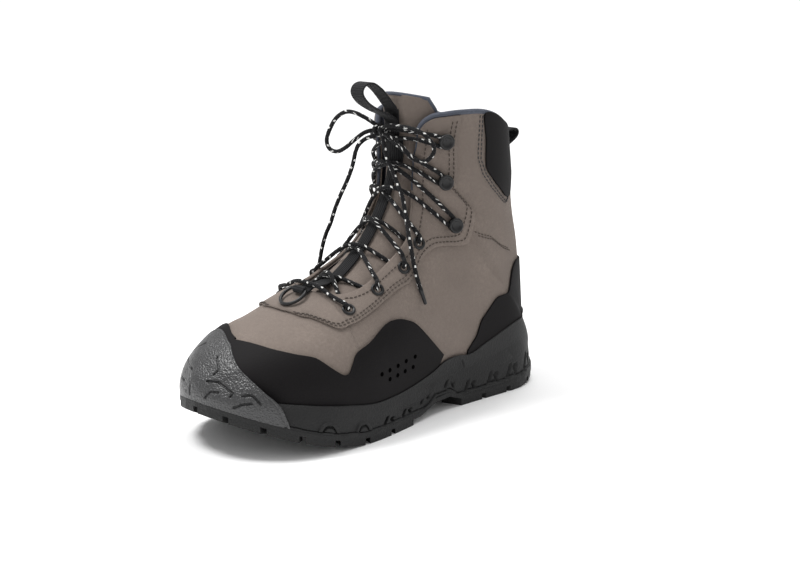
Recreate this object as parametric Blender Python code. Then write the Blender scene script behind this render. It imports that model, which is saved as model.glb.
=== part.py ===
"""A left wading boot: rubber sole and toe bumper, hollow upper with film overlays, tongue and laces.

Metres. The toe points to -Y, the lateral side is +X, and the lowest lugs stand on Z = 0.
A place along the sole is its share s of the sole's length, from the heel's back (0) to the
toe's tip (1). A place on the upper is (u, v): u runs from the toe's tip (0) to the collar (1),
and v from the ridge over the instep (0) to the feather line or the back seam (1).
"""
import bpy
import bmesh
import numpy as np
from math import cos, pi, radians, sin, sqrt
from mathutils import Matrix, Vector

# Driving dimensions
SOLE_LENGTH = 0.315
BALL_WIDTH = 0.127
COLLAR_HEIGHT = 0.222
TOE_SPRING = 0.028
HEEL_BEVEL = 0.0046
ARCH_RISE = 0.0105
TREAD_BAND = 0.008
LUG_DEPTH = 0.0045
UPPER_WALL = 0.0026
UPPER_INSET = 0.007
OVERLAY_WALL = 0.0012
BUMPER_WALL = 0.0018
BUMPER_FOOT_WALL = 0.0043
INSOLE_THICKNESS = 0.004
TONGUE_THICKNESS = 0.006
TONGUE_DROP = 0.0036
LACE_DIAMETER = 0.0032
EYELET_RADIUS = 0.0050
EYELET_HOLE = 0.0026
EYELET_HEIGHT = 0.0011
HOOK_RADIUS = 0.0058
WEBBING_WIDTH = 0.013
WEBBING_THICKNESS = 0.0014
KEEPER_WIDTH = 0.021
GAP = 0.0003
OVERLAY_GAP = 0.0006


class Table:
    """Rows of named columns, read between its rows along a smooth curve over the first column."""

    def __init__(self, names, *rows):
        self.columns = dict(zip(names.split(), np.array(rows, float).T))
        self.key = names.split()[0]

    def at(self, name, x):
        keys = self.columns[self.key]
        values = self.columns[name]
        x = np.asarray(x, float)
        steps = np.diff(keys)
        rises = np.diff(values) / steps
        slopes = np.concatenate([rises[:1], rises, rises[-1:]])
        before, after = slopes[:-1], slopes[1:]
        width_before = np.concatenate([steps[:1], steps])
        width_after = np.concatenate([steps, steps[-1:]])
        slope = (before * width_after + after * width_before) / (width_before + width_after)
        slope = np.where(before * after <= 0, 0, slope)
        i = np.clip(np.searchsorted(keys, x, side="right") - 1, 0, len(keys) - 2)
        t = (x - keys[i]) / steps[i]
        return (values[i] * (2 * t**3 - 3 * t**2 + 1)
                + slope[i] * steps[i] * (t**3 - 2 * t**2 + t)
                + values[i + 1] * (3 * t**2 - 2 * t**3)
                + slope[i + 1] * steps[i] * (t**3 - t**2))


# The sole: half widths in shares of the ball width before the ends are rounded, the height of
# the side wall's top in shares of the collar height, and how far the wall leans in at its top
# in shares of the ball width.
SOLE = Table("s lateral medial side_top lean",
             (0.00, 0.350, 0.350, 0.252, 0.046),
             (0.12, 0.378, 0.370, 0.246, 0.040),
             (0.24, 0.372, 0.345, 0.200, 0.036),
             (0.31, 0.371, 0.326, 0.174, 0.034),
             (0.36, 0.372, 0.312, 0.182, 0.032),
             (0.40, 0.380, 0.312, 0.178, 0.030),
             (0.46, 0.400, 0.320, 0.150, 0.028),
             (0.56, 0.450, 0.380, 0.124, 0.022),
             (0.65, 0.490, 0.455, 0.119, 0.020),
             (0.73, 0.500, 0.500, 0.132, 0.020),
             (0.82, 0.480, 0.520, 0.152, 0.022),
             (0.90, 0.440, 0.520, 0.172, 0.026),
             (1.00, 0.380, 0.500, 0.190, 0.030))
TOE_ROUND_FROM = 0.78
TOE_ROUND_POWER = 2.25
HEEL_ROUND_TO = 0.17
HEEL_ROUND_POWER = 2.3
TOE_SWING = -0.075
TOE_SWING_FROM = 0.62
SPRING_FROM = 0.68
BEVEL_TO = 0.17
ARCH_BACK = 0.350
ARCH_FRONT = 0.478

# The upper's sections. Each is a fan from its front point F on the ridge to its back point B
# on the feather line or the back seam: places in shares of the sole's length, heights in
# shares of the collar height, half widths in shares of the ball width, the share of the way
# at which the section is widest, and the powers of its front and back rounding.
LAST = Table("u f_s f_z b_s b_z lateral medial widest front back",
             (0.00, 0.985, 0.338, 0.985, 0.190, 0.340, 0.380, 0.80, 2.4, 2.0),
             (0.10, 0.900, 0.352, 0.900, 0.135, 0.410, 0.430, 0.78, 2.4, 2.0),
             (0.20, 0.800, 0.388, 0.800, 0.105, 0.450, 0.465, 0.76, 2.3, 2.0),
             (0.30, 0.700, 0.448, 0.700, 0.095, 0.460, 0.455, 0.74, 2.2, 2.0),
             (0.40, 0.610, 0.510, 0.600, 0.095, 0.435, 0.400, 0.72, 2.0, 2.0),
             (0.50, 0.535, 0.600, 0.470, 0.100, 0.395, 0.340, 0.70, 2.0, 2.0),
             (0.60, 0.485, 0.700, 0.250, 0.110, 0.355, 0.320, 0.66, 2.0, 2.0),
             (0.66, 0.465, 0.755, 0.090, 0.120, 0.345, 0.320, 0.66, 2.0, 2.0),
             (0.70, 0.455, 0.790, 0.0222, 0.135, 0.335, 0.315, 0.60, 2.0, 2.0),
             (0.80, 0.445, 0.870, 0.030, 0.400, 0.325, 0.315, 0.50, 2.0, 2.0),
             (0.90, 0.445, 0.940, 0.062, 0.660, 0.325, 0.315, 0.50, 2.0, 2.0),
             (1.00, 0.447, 1.010, 0.088, 0.900, 0.330, 0.325, 0.50, 2.0, 2.0),
             (1.08, 0.449, 1.065, 0.100, 0.960, 0.330, 0.325, 0.50, 2.0, 2.0))
U_TOE = 0.20
U_HEEL = 0.70
U_THROAT = 0.300

# The collar's rim: its height in shares of the collar height.
RIM = Table("v height",
            (0.10, 0.900), (0.18, 0.945), (0.205, 0.970), (0.235, 0.986), (0.32, 0.999),
            (0.43, 1.003), (0.50, 1.000), (0.58, 0.986), (0.68, 0.956), (0.80, 0.922),
            (1.00, 0.900))
U_RIM = 0.78

# Half of the throat's opening, in shares of the ball width.
THROAT = Table("u half",
               (0.300, 0.000), (0.304, 0.075), (0.312, 0.125), (0.325, 0.170), (0.345, 0.205),
               (0.38, 0.225), (0.45, 0.232), (0.53, 0.232), (0.58, 0.222), (0.64, 0.180),
               (0.70, 0.154), (0.80, 0.152), (0.92, 0.168), (1.00, 0.180), (1.08, 0.185))

# Edges of the overlays as pairs of (u, v) places. A foot_v of 1 runs down to the side wall.
BUMPER = Table("v edge",
               (0.00, 0.120), (0.20, 0.098), (0.37, 0.092), (0.55, 0.098), (0.71, 0.111),
               (0.866, 0.134), (1.00, 0.152), (1.20, 0.166))
RAND = Table("row top_u top_v foot_u foot_v",
             (0, 0.1320, 0.000, 0.1245, 0.000),
             (1, 0.1360, 0.100, 0.1150, 0.090),
             (2, 0.1430, 0.220, 0.1010, 0.220),
             (3, 0.1530, 0.326, 0.0965, 0.370),
             (4, 0.1730, 0.440, 0.1030, 0.550),
             (5, 0.1980, 0.527, 0.1160, 0.710),
             (6, 0.2250, 0.636, 0.1450, 1.000),
             (7, 0.2500, 0.712, 0.2050, 1.000),
             (8, 0.2650, 0.722, 0.2500, 1.000),
             (9, 0.2800, 0.670, 0.2850, 1.000),
             (10, 0.2980, 0.618, 0.3200, 1.000),
             (11, 0.3440, 0.603, 0.3600, 1.000),
             (12, 0.4040, 0.573, 0.4100, 1.000),
             (13, 0.4360, 0.590, 0.4450, 1.000),
             (14, 0.4680, 0.632, 0.4750, 1.000),
             (15, 0.4940, 0.675, 0.5000, 1.000),
             (16, 0.5210, 0.766, 0.5230, 1.000),
             (17, 0.5400, 0.845, 0.5420, 1.000))
COUNTER = Table("row top_u top_v foot_u foot_v",
                (0, 0.583, 0.845, 0.5860, 1.000),
                (1, 0.592, 0.810, 0.6000, 1.000),
                (2, 0.604, 0.766, 0.6180, 1.000),
                (3, 0.628, 0.669, 0.6420, 1.000),
                (4, 0.676, 0.598, 0.6720, 1.000),
                (5, 0.738, 0.632, 0.7030, 1.000),
                (6, 0.778, 0.695, 0.7240, 1.000),
                (7, 0.797, 0.770, 0.7380, 1.000),
                (8, 0.808, 0.850, 0.7460, 1.000),
                (9, 0.815, 0.925, 0.7500, 1.000),
                (10, 0.818, 1.000, 0.7510, 1.000))
COLLAR_PATCH = Table("row top_u top_v foot_u foot_v",
                     (0, 0.8680, 0.620, 0.8720, 0.660),
                     (1, 0.8760, 0.545, 0.8850, 0.700),
                     (2, 0.8950, 0.500, 0.9100, 0.735),
                     (3, 0.9380, 0.508, 0.9250, 0.770),
                     (4, 0.9860, 0.525, 0.9350, 0.820),
                     (5, 0.9880, 0.680, 0.9400, 0.880),
                     (6, 0.9880, 0.840, 0.9420, 0.940),
                     (7, 0.9880, 1.000, 0.9430, 1.000))
EYESTAY = Table("u edge",
                (0.226, 0.000), (0.230, 0.100), (0.244, 0.218), (0.258, 0.320), (0.272, 0.393),
                (0.308, 0.435), (0.360, 0.452), (0.411, 0.460), (0.501, 0.473), (0.540, 0.440),
                (0.573, 0.393), (0.621, 0.368), (0.676, 0.397), (0.735, 0.414), (0.778, 0.423),
                (0.797, 0.343), (0.850, 0.350), (0.912, 0.356), (0.960, 0.370), (0.996, 0.388))
EYELETS = Table("row u v",
                (1, 0.323, 0.345), (2, 0.423, 0.380), (3, 0.518, 0.390), (4, 0.590, 0.325))
HOOKS = Table("row u v",
              (1, 0.704, 0.339), (2, 0.795, 0.289), (3, 0.919, 0.301))

LATERAL = 1
MEDIAL = -1
SIDES = (("lateral", LATERAL), ("medial", MEDIAL))


def ease(x):
    """0 below 0, 1 above 1 and a smooth step between."""
    x = np.clip(x, 0, 1)
    return x * x * (3 - 2 * x)


def swing(s):
    """The sole's midline, which swings to the medial side at the toe."""
    return TOE_SWING * BALL_WIDTH * ease((s - TOE_SWING_FROM) / (1 - TOE_SWING_FROM))


def outline_x(s, side, inset=0.0):
    """X of the sole's outline at s, moved in by inset."""
    s = np.asarray(s, float)
    end = inset / SOLE_LENGTH
    half = SOLE.at("lateral" if side == LATERAL else "medial", s) * BALL_WIDTH - inset
    toe = np.clip((s - TOE_ROUND_FROM) / (1 - end - TOE_ROUND_FROM), 0, 1)
    heel = np.clip((HEEL_ROUND_TO - s) / (HEEL_ROUND_TO - end), 0, 1)
    share = ((1 - toe**TOE_ROUND_POWER) ** (1 / TOE_ROUND_POWER)
             * (1 - heel**HEEL_ROUND_POWER) ** (1 / HEEL_ROUND_POWER))
    return swing(s) + side * (half - side * swing(s)) * share


def place_y(s):
    return (0.5 - s) * SOLE_LENGTH


def station(t, inset=0.0):
    """s at share t of the way from heel to toe, with stations close together at both ends."""
    end = inset / SOLE_LENGTH
    return end + (1 - 2 * end) * (1 - np.cos(pi * t)) / 2


def outline_point(t, side, inset, height):
    """A point of the outline, at height(s)."""
    s = station(t, inset)
    return Vector((float(outline_x(s, side, inset)), place_y(s), float(height(s))))


def floor_z(s):
    """The lugs' lower face: flat, with the toe's spring and the heel's bevel."""
    spring = TOE_SPRING * np.clip((s - SPRING_FROM) / (1 - SPRING_FROM), 0, 1) ** 1.6
    return spring + HEEL_BEVEL * np.clip((BEVEL_TO - s) / BEVEL_TO, 0, 1) ** 1.5


def arch_share(s):
    """1 under the arch, 0 under the heel and the forefoot."""
    middle = (ARCH_BACK + ARCH_FRONT) / 2
    reach = (ARCH_FRONT - ARCH_BACK) / 2
    return 1 - ease((abs(s - middle) / reach - 0.35) / 0.65)


def tread_under_z(s):
    return floor_z(s) + LUG_DEPTH + (ARCH_RISE - LUG_DEPTH) * arch_share(s)


def tread_top_z(s):
    return floor_z(s) + TREAD_BAND + (ARCH_RISE - LUG_DEPTH) * arch_share(s)


def side_top_z(s):
    return SOLE.at("side_top", s) * COLLAR_HEIGHT


def last_point(u, v, side, rim=True):
    """Points of the upper's outer face; u and v are numbers or arrays."""
    u, v = np.broadcast_arrays(np.atleast_1d(np.asarray(u, float)), np.asarray(v, float))
    toe = np.clip(u / U_TOE, 0, 1) * pi / 2
    box_s = LAST.at("f_s", U_TOE)
    tip_s = 1 - UPPER_INSET / SOLE_LENGTH
    round_s = box_s + (tip_s - box_s) * np.cos(toe)
    row = np.where(u < U_TOE, U_TOE * np.clip((1 - round_s) / (1 - box_s), 0, 1), u)
    f_s = np.where(u < U_TOE, round_s, LAST.at("f_s", u))
    b_s = np.where(u < U_TOE, round_s, LAST.at("b_s", u))
    b_z = LAST.at("b_z", row)
    f_z = b_z + (LAST.at("f_z", row) - b_z) * np.sin(toe) ** 0.8
    half = LAST.at("lateral" if side == LATERAL else "medial", row) * BALL_WIDTH
    half = half * np.sin(toe) ** 0.85
    widest = LAST.at("widest", row)
    middle = swing(b_s)
    edge = side * (outline_x(b_s, side, UPPER_INSET) - middle) / np.maximum(half, 1e-6)
    edge = np.where(u < U_HEEL, np.clip(edge, 0, 1), 0)
    shaft = ease((u - 0.45) / 0.25)
    t = (1 - shaft) * (1 - np.cos(pi * v / 2)) + shaft * (1 - np.cos(pi * v)) / 2
    front_power, back_power = LAST.at("front", row), LAST.at("back", row)
    fore = np.clip(t / widest, 0, 1)
    aft = np.clip((t - widest) / (1 - widest), 0, 1)
    front = (1 - (1 - fore) ** front_power) ** (1 / front_power)
    back = edge + (1 - edge) * (1 - aft**back_power) ** (1 / back_power)
    x = middle * (1 - shaft) + side * half * np.where(t < widest, front, back)
    z = f_z + (b_z - f_z) * t
    if rim:
        plain = LAST.at("f_z", 1.0) + (LAST.at("b_z", 1.0) - LAST.at("f_z", 1.0)) * t
        z = z + (RIM.at("height", np.maximum(v, 0.10)) - plain) * ease((u - U_RIM) / (1 - U_RIM))
    return np.column_stack([x, place_y(f_s + (b_s - f_s) * t), z * COLLAR_HEIGHT])


def last_frame(u, v, side, rim=True):
    """Point, direction towards the collar, direction towards the sole, and outward normal."""
    step = 0.004
    here, up, down = [Vector(last_point(a, b, side, rim)[0])
                      for a, b in ((u, v), (u + step, v), (u, v + step))]
    along = (up - here).normalized()
    across = (down - here).normalized()
    normal = across.cross(along) * side
    if v == 0:
        normal.x = 0
    return here, along, across, normal.normalized()


def solve(function, low, high, steps=600):
    """Where between low and high a function, given an array, first falls to 0; high if nowhere."""
    places = np.linspace(low, high, steps + 1)
    values = function(places)
    reached = np.flatnonzero(values <= 0)
    if len(reached) == 0:
        return high
    i = reached[0]
    if i == 0:
        return low
    share = values[i - 1] / (values[i - 1] - values[i])
    return float(places[i - 1] + (places[i] - places[i - 1]) * share)


def throat_v(u, side):
    """v of the throat's edge at u."""
    half = float(THROAT.at("half", u)) * BALL_WIDTH if u > U_THROAT else 0.0
    if half <= 0:
        return 0.0
    return solve(lambda v: half - abs(last_point(u, v, side)[:, 0]), 0, 0.6)


def side_wall_v(u, side):
    """v at which the side wall's top meets the upper."""
    def above(v):
        _, y, z = last_point(u, v, side).T
        return z - side_top_z(0.5 - y / SOLE_LENGTH) - OVERLAY_GAP
    return solve(above, 0.4, 1.0)


# Mesh helpers

def grid_faces(bm, rows, flip=False):
    """Quads over rows of points; flip turns them over."""
    verts = [[bm.verts.new(point) for point in row] for row in rows]
    for low, high in zip(verts, verts[1:]):
        for j in range(len(low) - 1):
            corners = [low[j], high[j], high[j + 1], low[j + 1]]
            bm.faces.new(corners[::-1] if flip else corners)
    return verts


def weld(bm):
    """Joins the points that meet at seams and poles."""
    bmesh.ops.remove_doubles(bm, verts=bm.verts[:], dist=1e-5)
    bm.normal_update()


def split(bm):
    """Splits quads along the same diagonal in every copy of a surface."""
    bmesh.ops.triangulate(bm, faces=bm.faces[:], quad_method="FIXED", ngon_method="BEAUTY")


def lift(bm, distance):
    """Moves a surface along its own normals; distance is a number or a function of the place."""
    bm.normal_update()
    moves = [(vert, vert.normal * (distance(vert.co) if callable(distance) else distance))
             for vert in bm.verts]
    for vert, move in moves:
        vert.co += move
    bm.normal_update()


def close_solid(bm):
    """Makes every face of a closed mesh point outwards."""
    bmesh.ops.recalc_face_normals(bm, faces=bm.faces[:])
    if bm.calc_volume(signed=True) < 0:
        bmesh.ops.reverse_faces(bm, faces=bm.faces[:])


def thicken(bm, wall):
    """Gives an open surface a wall along its normals and closes the rim."""
    bm.normal_update()
    rim = [edge for edge in bm.edges if edge.is_boundary]
    faces = bm.faces[:]
    far = {vert: bm.verts.new(vert.co + vert.normal * wall) for vert in bm.verts[:]}
    for face in faces:
        bm.faces.new([far[vert] for vert in reversed(face.verts)])
    for edge in rim:
        a, b = edge.verts
        bm.faces.new((a, b, far[b], far[a]))
    close_solid(bm)


def finish(name, bm, material, sharp=35, guide=False):
    """Makes the object; a guide is only a cutter or the other half of a union."""
    mesh = bpy.data.meshes.new(name)
    bmesh.ops.triangulate(bm, faces=[face for face in bm.faces if len(face.verts) > 4])
    bm.to_mesh(mesh)
    bm.free()
    mesh.shade_smooth()
    mesh.set_sharp_from_angle(angle=radians(sharp))
    thing = bpy.data.objects.new(name, mesh)
    bpy.context.scene.collection.objects.link(thing)
    if guide:
        thing.hide_render = True
        thing.display_type = "WIRE"
    else:
        mesh.materials.append(material)
    return thing


def boolean(thing, operation, other):
    step = thing.modifiers.new(operation.title(), "BOOLEAN")
    step.operation = operation
    step.object = other
    step.solver = "EXACT"
    step.use_self = operation == "UNION"


def make_material(name, colour, roughness, metallic=0.0):
    material = bpy.data.materials.new(name)
    material.use_nodes = True
    shader = material.node_tree.nodes["Principled BSDF"]
    shader.inputs["Base Color"].default_value = (*colour, 1.0)
    shader.inputs["Roughness"].default_value = roughness
    shader.inputs["Metallic"].default_value = metallic
    return material


def catmull(points, steps):
    """A smooth curve through points, with steps pieces between each two."""
    points = [Vector(point) for point in points]
    padded = [points[0] * 2 - points[1], *points, points[-1] * 2 - points[-2]]
    curve = []
    for a, b, c, d in zip(padded, padded[1:], padded[2:], padded[3:]):
        for k in range(steps):
            t = k / steps
            curve.append(0.5 * (2 * b + (c - a) * t + (2 * a - 5 * b + 4 * c - d) * t * t
                                + (3 * b - a - 3 * c + d) * t**3))
    return [*curve, points[-1]]


def tube(bm, path, radius, sides=8, closed=False):
    """A round rod along a path, with filled ends unless it is closed."""
    rings = []
    across = None
    for i, point in enumerate(path):
        before = path[i - 1] if i or closed else point
        after = path[(i + 1) % len(path)] if i + 1 < len(path) or closed else point
        along = (after - before).normalized()
        if across is None:
            across = along.orthogonal().normalized()
        across = (across - along * across.dot(along)).normalized()
        other = along.cross(across)
        rings.append([bm.verts.new(point + radius * (across * cos(2 * pi * k / sides)
                                                     + other * sin(2 * pi * k / sides)))
                      for k in range(sides)])
    pairs = list(zip(rings, rings[1:]))
    if closed:
        pairs.append((rings[-1], rings[0]))
    for low, high in pairs:
        for k in range(sides):
            m = (k + 1) % sides
            bm.faces.new((low[k], low[m], high[m], high[k]))
    if not closed:
        bm.faces.new(rings[0][::-1])
        bm.faces.new(rings[-1])


def strap(bm, path, across, width, thickness):
    """A flat strap along a path: across gives its width's direction at each point."""
    rows = []
    for i, point in enumerate(path):
        along = (path[min(i + 1, len(path) - 1)] - path[max(i - 1, 0)]).normalized()
        side = across[i] if isinstance(across, list) else across
        out = along.cross(side).normalized() * thickness / 2
        edge = side * width / 2
        rows.append([point - edge - out, point + edge - out, point + edge + out,
                     point - edge + out, point - edge - out])
    verts = grid_faces(bm, rows)
    for row in (verts[0], verts[-1]):
        bm.faces.new(row[:4])
    weld(bm)
    close_solid(bm)


# Sole

OUTLINE_STEPS = 28
MIDSOLE_SETBACK = 0.0010
MIDSOLE_NOSE_FROM = 0.885
MIDSOLE_NOSE_LENGTH = 0.03


def outline_rings(levels, steps=OUTLINE_STEPS, start=0.0, end=1.0):
    """Rings of points round the outline, one for each (inset, height function) of levels."""
    shares = [start + (end - start) * i / steps for i in range(steps + 1)]
    rings = []
    for inset, height in levels:
        ring = []
        for t in shares:
            s = float(station(t, 0.0))
            ring.append((t, inset(s), height))
        rings.append(([outline_point(t, LATERAL, i, h) for t, i, h in ring],
                      [outline_point(t, MEDIAL, i, h) for t, i, h in ring]))
    return rings


def sole_block(levels, steps=OUTLINE_STEPS):
    """A closed slab through rings of the outline, from its lowest level to its highest."""
    bm = bmesh.new()
    rings = outline_rings(levels, steps)
    for k, flip in ((0, False), (1, True)):
        grid_faces(bm, [ring[k] for ring in rings], flip)
    grid_faces(bm, [rings[0][0], rings[0][1]])
    grid_faces(bm, [rings[-1][1], rings[-1][0]])
    weld(bm)
    close_solid(bm)
    return bm


def outline_walk(side, inset=0.0, steps=400):
    """Shares t of the outline with their distance from the heel along it."""
    shares = [i / steps for i in range(steps + 1)]
    points = [outline_point(t, side, inset, floor_z) for t in shares]
    lengths = [0.0]
    for a, b in zip(points, points[1:]):
        lengths.append(lengths[-1] + (b - a).length)
    return np.array(shares), np.array(lengths)


LUG_LENGTH = 0.0215
LUG_GAP = 0.0045
LUG_REACH = 0.0165
LUG_SETBACK = 0.0004
LUG_SINK = 0.0008


def add_lug(bm, corners):
    """A block from the floor up into the slab, over corners (x, s)."""
    low = [bm.verts.new((x, place_y(s), floor_z(s))) for x, s in corners]
    high = [bm.verts.new((x, place_y(s), floor_z(s) + LUG_DEPTH + LUG_SINK)) for x, s in corners]
    bm.faces.new(low)
    bm.faces.new(high[::-1])
    for k in range(len(low)):
        m = (k + 1) % len(low)
        bm.faces.new((low[m], low[k], high[k], high[m]))


def lug_block():
    """Edge lugs round the heel and the forefoot, and chevrons down the middle."""
    bm = bmesh.new()
    for _, side in SIDES:
        shares, lengths = outline_walk(side)
        count = int(lengths[-1] // (LUG_LENGTH + LUG_GAP))
        pitch = lengths[-1] / count
        for k in range(count):
            cuts = [pitch * k + LUG_GAP / 2 + (pitch - LUG_GAP) * j / 2 for j in range(3)]
            spots = [float(np.interp(cut, lengths, shares)) for cut in cuts]
            s_low, s_high = station(spots[0]), station(spots[-1])
            if s_high > ARCH_BACK and s_low < ARCH_FRONT:
                continue
            corners = []
            for inset, order in ((LUG_SETBACK, spots), (LUG_REACH, spots[::-2])):
                for t in order:
                    s = float(station(t, inset))
                    corners.append((float(outline_x(s, side, inset)), s))
            add_lug(bm, corners)
    for s_first, s_last, count in ((0.105, 0.285, 3), (0.525, 0.865, 5)):
        for k in range(count):
            s = s_first + (s_last - s_first) * k / (count - 1)
            reach = float(min(outline_x(s, LATERAL, 0), -outline_x(s, MEDIAL, 0))) - LUG_REACH - 0.005
            depth, point = 0.030, 0.028
            middle = float(swing(s))
            add_lug(bm, [(middle - reach, s - point), (middle, s), (middle + reach, s - point),
                         (middle + reach, s - point + depth), (middle, s + depth),
                         (middle - reach, s - point + depth)])
    close_solid(bm)
    return bm


def make_outsole(rubber):
    levels = [(lambda s: 0.0, tread_under_z), (lambda s: 0.0, tread_top_z)]
    outsole = finish("outsole", sole_block(levels), rubber)
    lugs = finish("lug_blocks", lug_block(), None, guide=True)
    boolean(outsole, "UNION", lugs)
    return outsole


# Upper

UPPER_ROWS = [0.0, 0.03, 0.065, 0.10, 0.15, 0.20, 0.24, 0.275, 0.30, 0.304, 0.313,
              0.330, 0.355, 0.40, 0.45, 0.50, 0.55, 0.60, 0.64, 0.675, 0.693,
              0.70, 0.73, 0.77, 0.81, 0.86, 0.91, 0.955, 1.0]
UPPER_COLUMNS = 10


def upper_rows(side):
    rows = []
    for u in UPPER_ROWS:
        first = throat_v(u, side)
        shares = [first + (1 - first) * j / UPPER_COLUMNS for j in range(UPPER_COLUMNS + 1)]
        rows.append([Vector(p) for p in last_point(u, np.array(shares), side)])
    return rows


def upper_surface(bm, closed=False):
    """The upper's outer face; closed also covers the throat, the collar and the underside."""
    sides = {side: upper_rows(side) for _, side in SIDES}
    for side, rows in sides.items():
        grid_faces(bm, rows, flip=side == LATERAL)
    if closed:
        lateral, medial = sides[LATERAL], sides[MEDIAL]
        throat = UPPER_ROWS.index(U_THROAT)
        heel = UPPER_ROWS.index(U_HEEL)
        grid_faces(bm, [[row[0] for row in rows[throat:]] for rows in (lateral, medial)])
        grid_faces(bm, [[row[-1] for row in rows[:heel + 1]] for rows in (lateral, medial)])
        grid_faces(bm, [lateral[-1], medial[-1]])
    weld(bm)
    split(bm)
    if closed:
        close_solid(bm)


def make_upper(fabric):
    bm = bmesh.new()
    upper_surface(bm)
    thicken(bm, -UPPER_WALL)
    return finish("upper", bm, fabric, sharp=50)


def make_midsole(rubber, last_guide, bumper_guide):
    """The cup: a slab with a leaning side wall, hollowed by the upper and cut by the bumper.

    Under the bumper it is only the foot bed, set back behind the bumper's foot."""
    foot_bed = BUMPER_FOOT_WALL + 2 * GAP

    def inside(s):
        return float(ease((s - MIDSOLE_NOSE_FROM) / MIDSOLE_NOSE_LENGTH))

    def lean(share):
        def inset(s):
            wall = MIDSOLE_SETBACK + share * float(SOLE.at("lean", s)) * BALL_WIDTH
            return wall * (1 - inside(s)) + foot_bed * inside(s)
        return inset

    def height(share):
        def z(s):
            top = side_top_z(s) * (1 - inside(s)) + (feather_z(s) - 2.5 * GAP) * inside(s)
            return (tread_top_z(s) + GAP) * (1 - share) + top * share
        return z

    levels = [(lean(0.0), height(0.0)), (lean(0.3), height(0.6)), (lean(1.0), height(1.0))]
    midsole = finish("midsole", sole_block(levels), rubber)
    boolean(midsole, "DIFFERENCE", last_guide)
    boolean(midsole, "DIFFERENCE", bumper_guide)
    return midsole


def feather_z(s):
    """Height of the upper's lower edge at s."""
    def ahead(u):
        return 0.5 - last_point(u, 1.0, LATERAL)[:, 1] / SOLE_LENGTH - s
    return float(last_point(solve(ahead, 0.0, U_HEEL), 1.0, LATERAL)[0, 2])


def make_insole(foam):
    """A pad between the upper's walls, from the feather line up by its thickness."""
    heel = UPPER_ROWS.index(U_HEEL)
    bm = bmesh.new()
    edges = []
    for _, side in SIDES:
        rows = []
        for row in upper_rows(side)[2:heel + 1]:
            foot = row[-1]
            top = foot
            for low, high in zip(row[::-1], row[-2::-1]):
                if high.z <= low.z:
                    continue
                share = min((foot.z + INSOLE_THICKNESS - low.z) / (high.z - low.z), 1)
                top = low + (high - low) * share
                if share < 1:
                    break
            rows.append([top, foot])
        edges.append(grid_faces(bm, rows, flip=side == LATERAL))
    bm.normal_update()
    for vert in bm.verts:
        level = Vector((vert.normal.x, vert.normal.y, 0))
        vert.co -= level * (UPPER_WALL + 3 * OVERLAY_GAP) / level.length_squared
    lateral, medial = edges
    for k in (0, 1):
        for i in range(heel - 2):
            bm.faces.new([lateral[i][k], lateral[i + 1][k], medial[i + 1][k], medial[i][k]])
    for i in (0, heel - 2):
        bm.faces.new([lateral[i][0], lateral[i][1], medial[i][1], medial[i][0]])
    weld(bm)
    close_solid(bm)
    return finish("insole", bm, foam)


# Toe bumper

BUMPER_COLUMNS = 7
BUMPER_ROWS = (0.0, 0.15, 0.30, 0.45, 0.60, 0.74, 0.86, 0.94, 1.0)
BUMPER_BELOW = (0.15, 1.0)
BUMPER_NOSE = 0.06


def bumper_faces(side, grow):
    """Inner and outer points of the bumper's half; grow makes the cutter a gap larger."""
    inner, outer = [], []
    for row in (*BUMPER_ROWS, *(1 + below for below in BUMPER_BELOW)):
        v = min(row, 1.0)
        below = max(row - 1.0, 0.0)
        edge = float(BUMPER.at("edge", min(v + 0.2 * below, 1.2)))
        if grow:
            edge += 0.0024 + 0.003 * below
        inner_row, outer_row = [], []
        for i in range(BUMPER_COLUMNS + 1):
            u = edge * i / BUMPER_COLUMNS
            if i == 0:
                point, normal = Vector(last_point(0.0, v, side)[0]), Vector((0, -1, 0))
            else:
                point, _, _, normal = last_frame(u, v, side)
            share = cos(min(u / U_TOE, 1) * pi / 2)
            box_s = float(LAST.at("f_s", U_TOE))

            def on_outline(inset):
                s = box_s + (1 - inset / SOLE_LENGTH - box_s) * share
                return Vector((float(outline_x(s, side, inset)), place_y(s), 0)), s

            foot, s = on_outline(-0.003 if grow else 0.0)
            ledge, _ = on_outline(BUMPER_FOOT_WALL + (GAP if grow else 0.0))
            bottom = float(tread_top_z(s)) + (-0.002 if grow else GAP)
            height = point.z * (1 - below) + bottom * below
            blend = float(ease((v - 0.45) / 0.5)) if i else 1.0
            nose = (UPPER_INSET - OVERLAY_GAP - BUMPER_WALL) * (1 - float(ease(u / BUMPER_NOSE)))
            skin = BUMPER_WALL + nose + (0.003 if grow else 0.0)
            flush = Vector((foot.x, foot.y, height))
            shell = point + normal * (OVERLAY_GAP + skin)
            outer_row.append(shell * (1 - blend) + flush * blend if below == 0 else flush)
            near = point + normal * (OVERLAY_GAP - (GAP if grow else 0.0))
            inner_row.append(near if below == 0 else Vector((ledge.x, ledge.y, height)))
        inner.append(inner_row)
        outer.append(outer_row)
    return inner, outer


def bumper_solid(grow=False):
    bm = bmesh.new()
    for _, side in SIDES:
        inner, outer = bumper_faces(side, grow)
        flip = side == LATERAL
        grid_faces(bm, outer, not flip)
        grid_faces(bm, inner, flip)
        grid_faces(bm, [[row[-1] for row in outer], [row[-1] for row in inner]], flip)
        grid_faces(bm, [outer[-1], inner[-1]], flip)
    weld(bm)
    close_solid(bm)
    return bm


def make_bumper(rubber):
    return finish("toe_bumper", bumper_solid(), rubber, sharp=50)


# Overlays

CUTTER_DEPTH = 0.002


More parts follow.
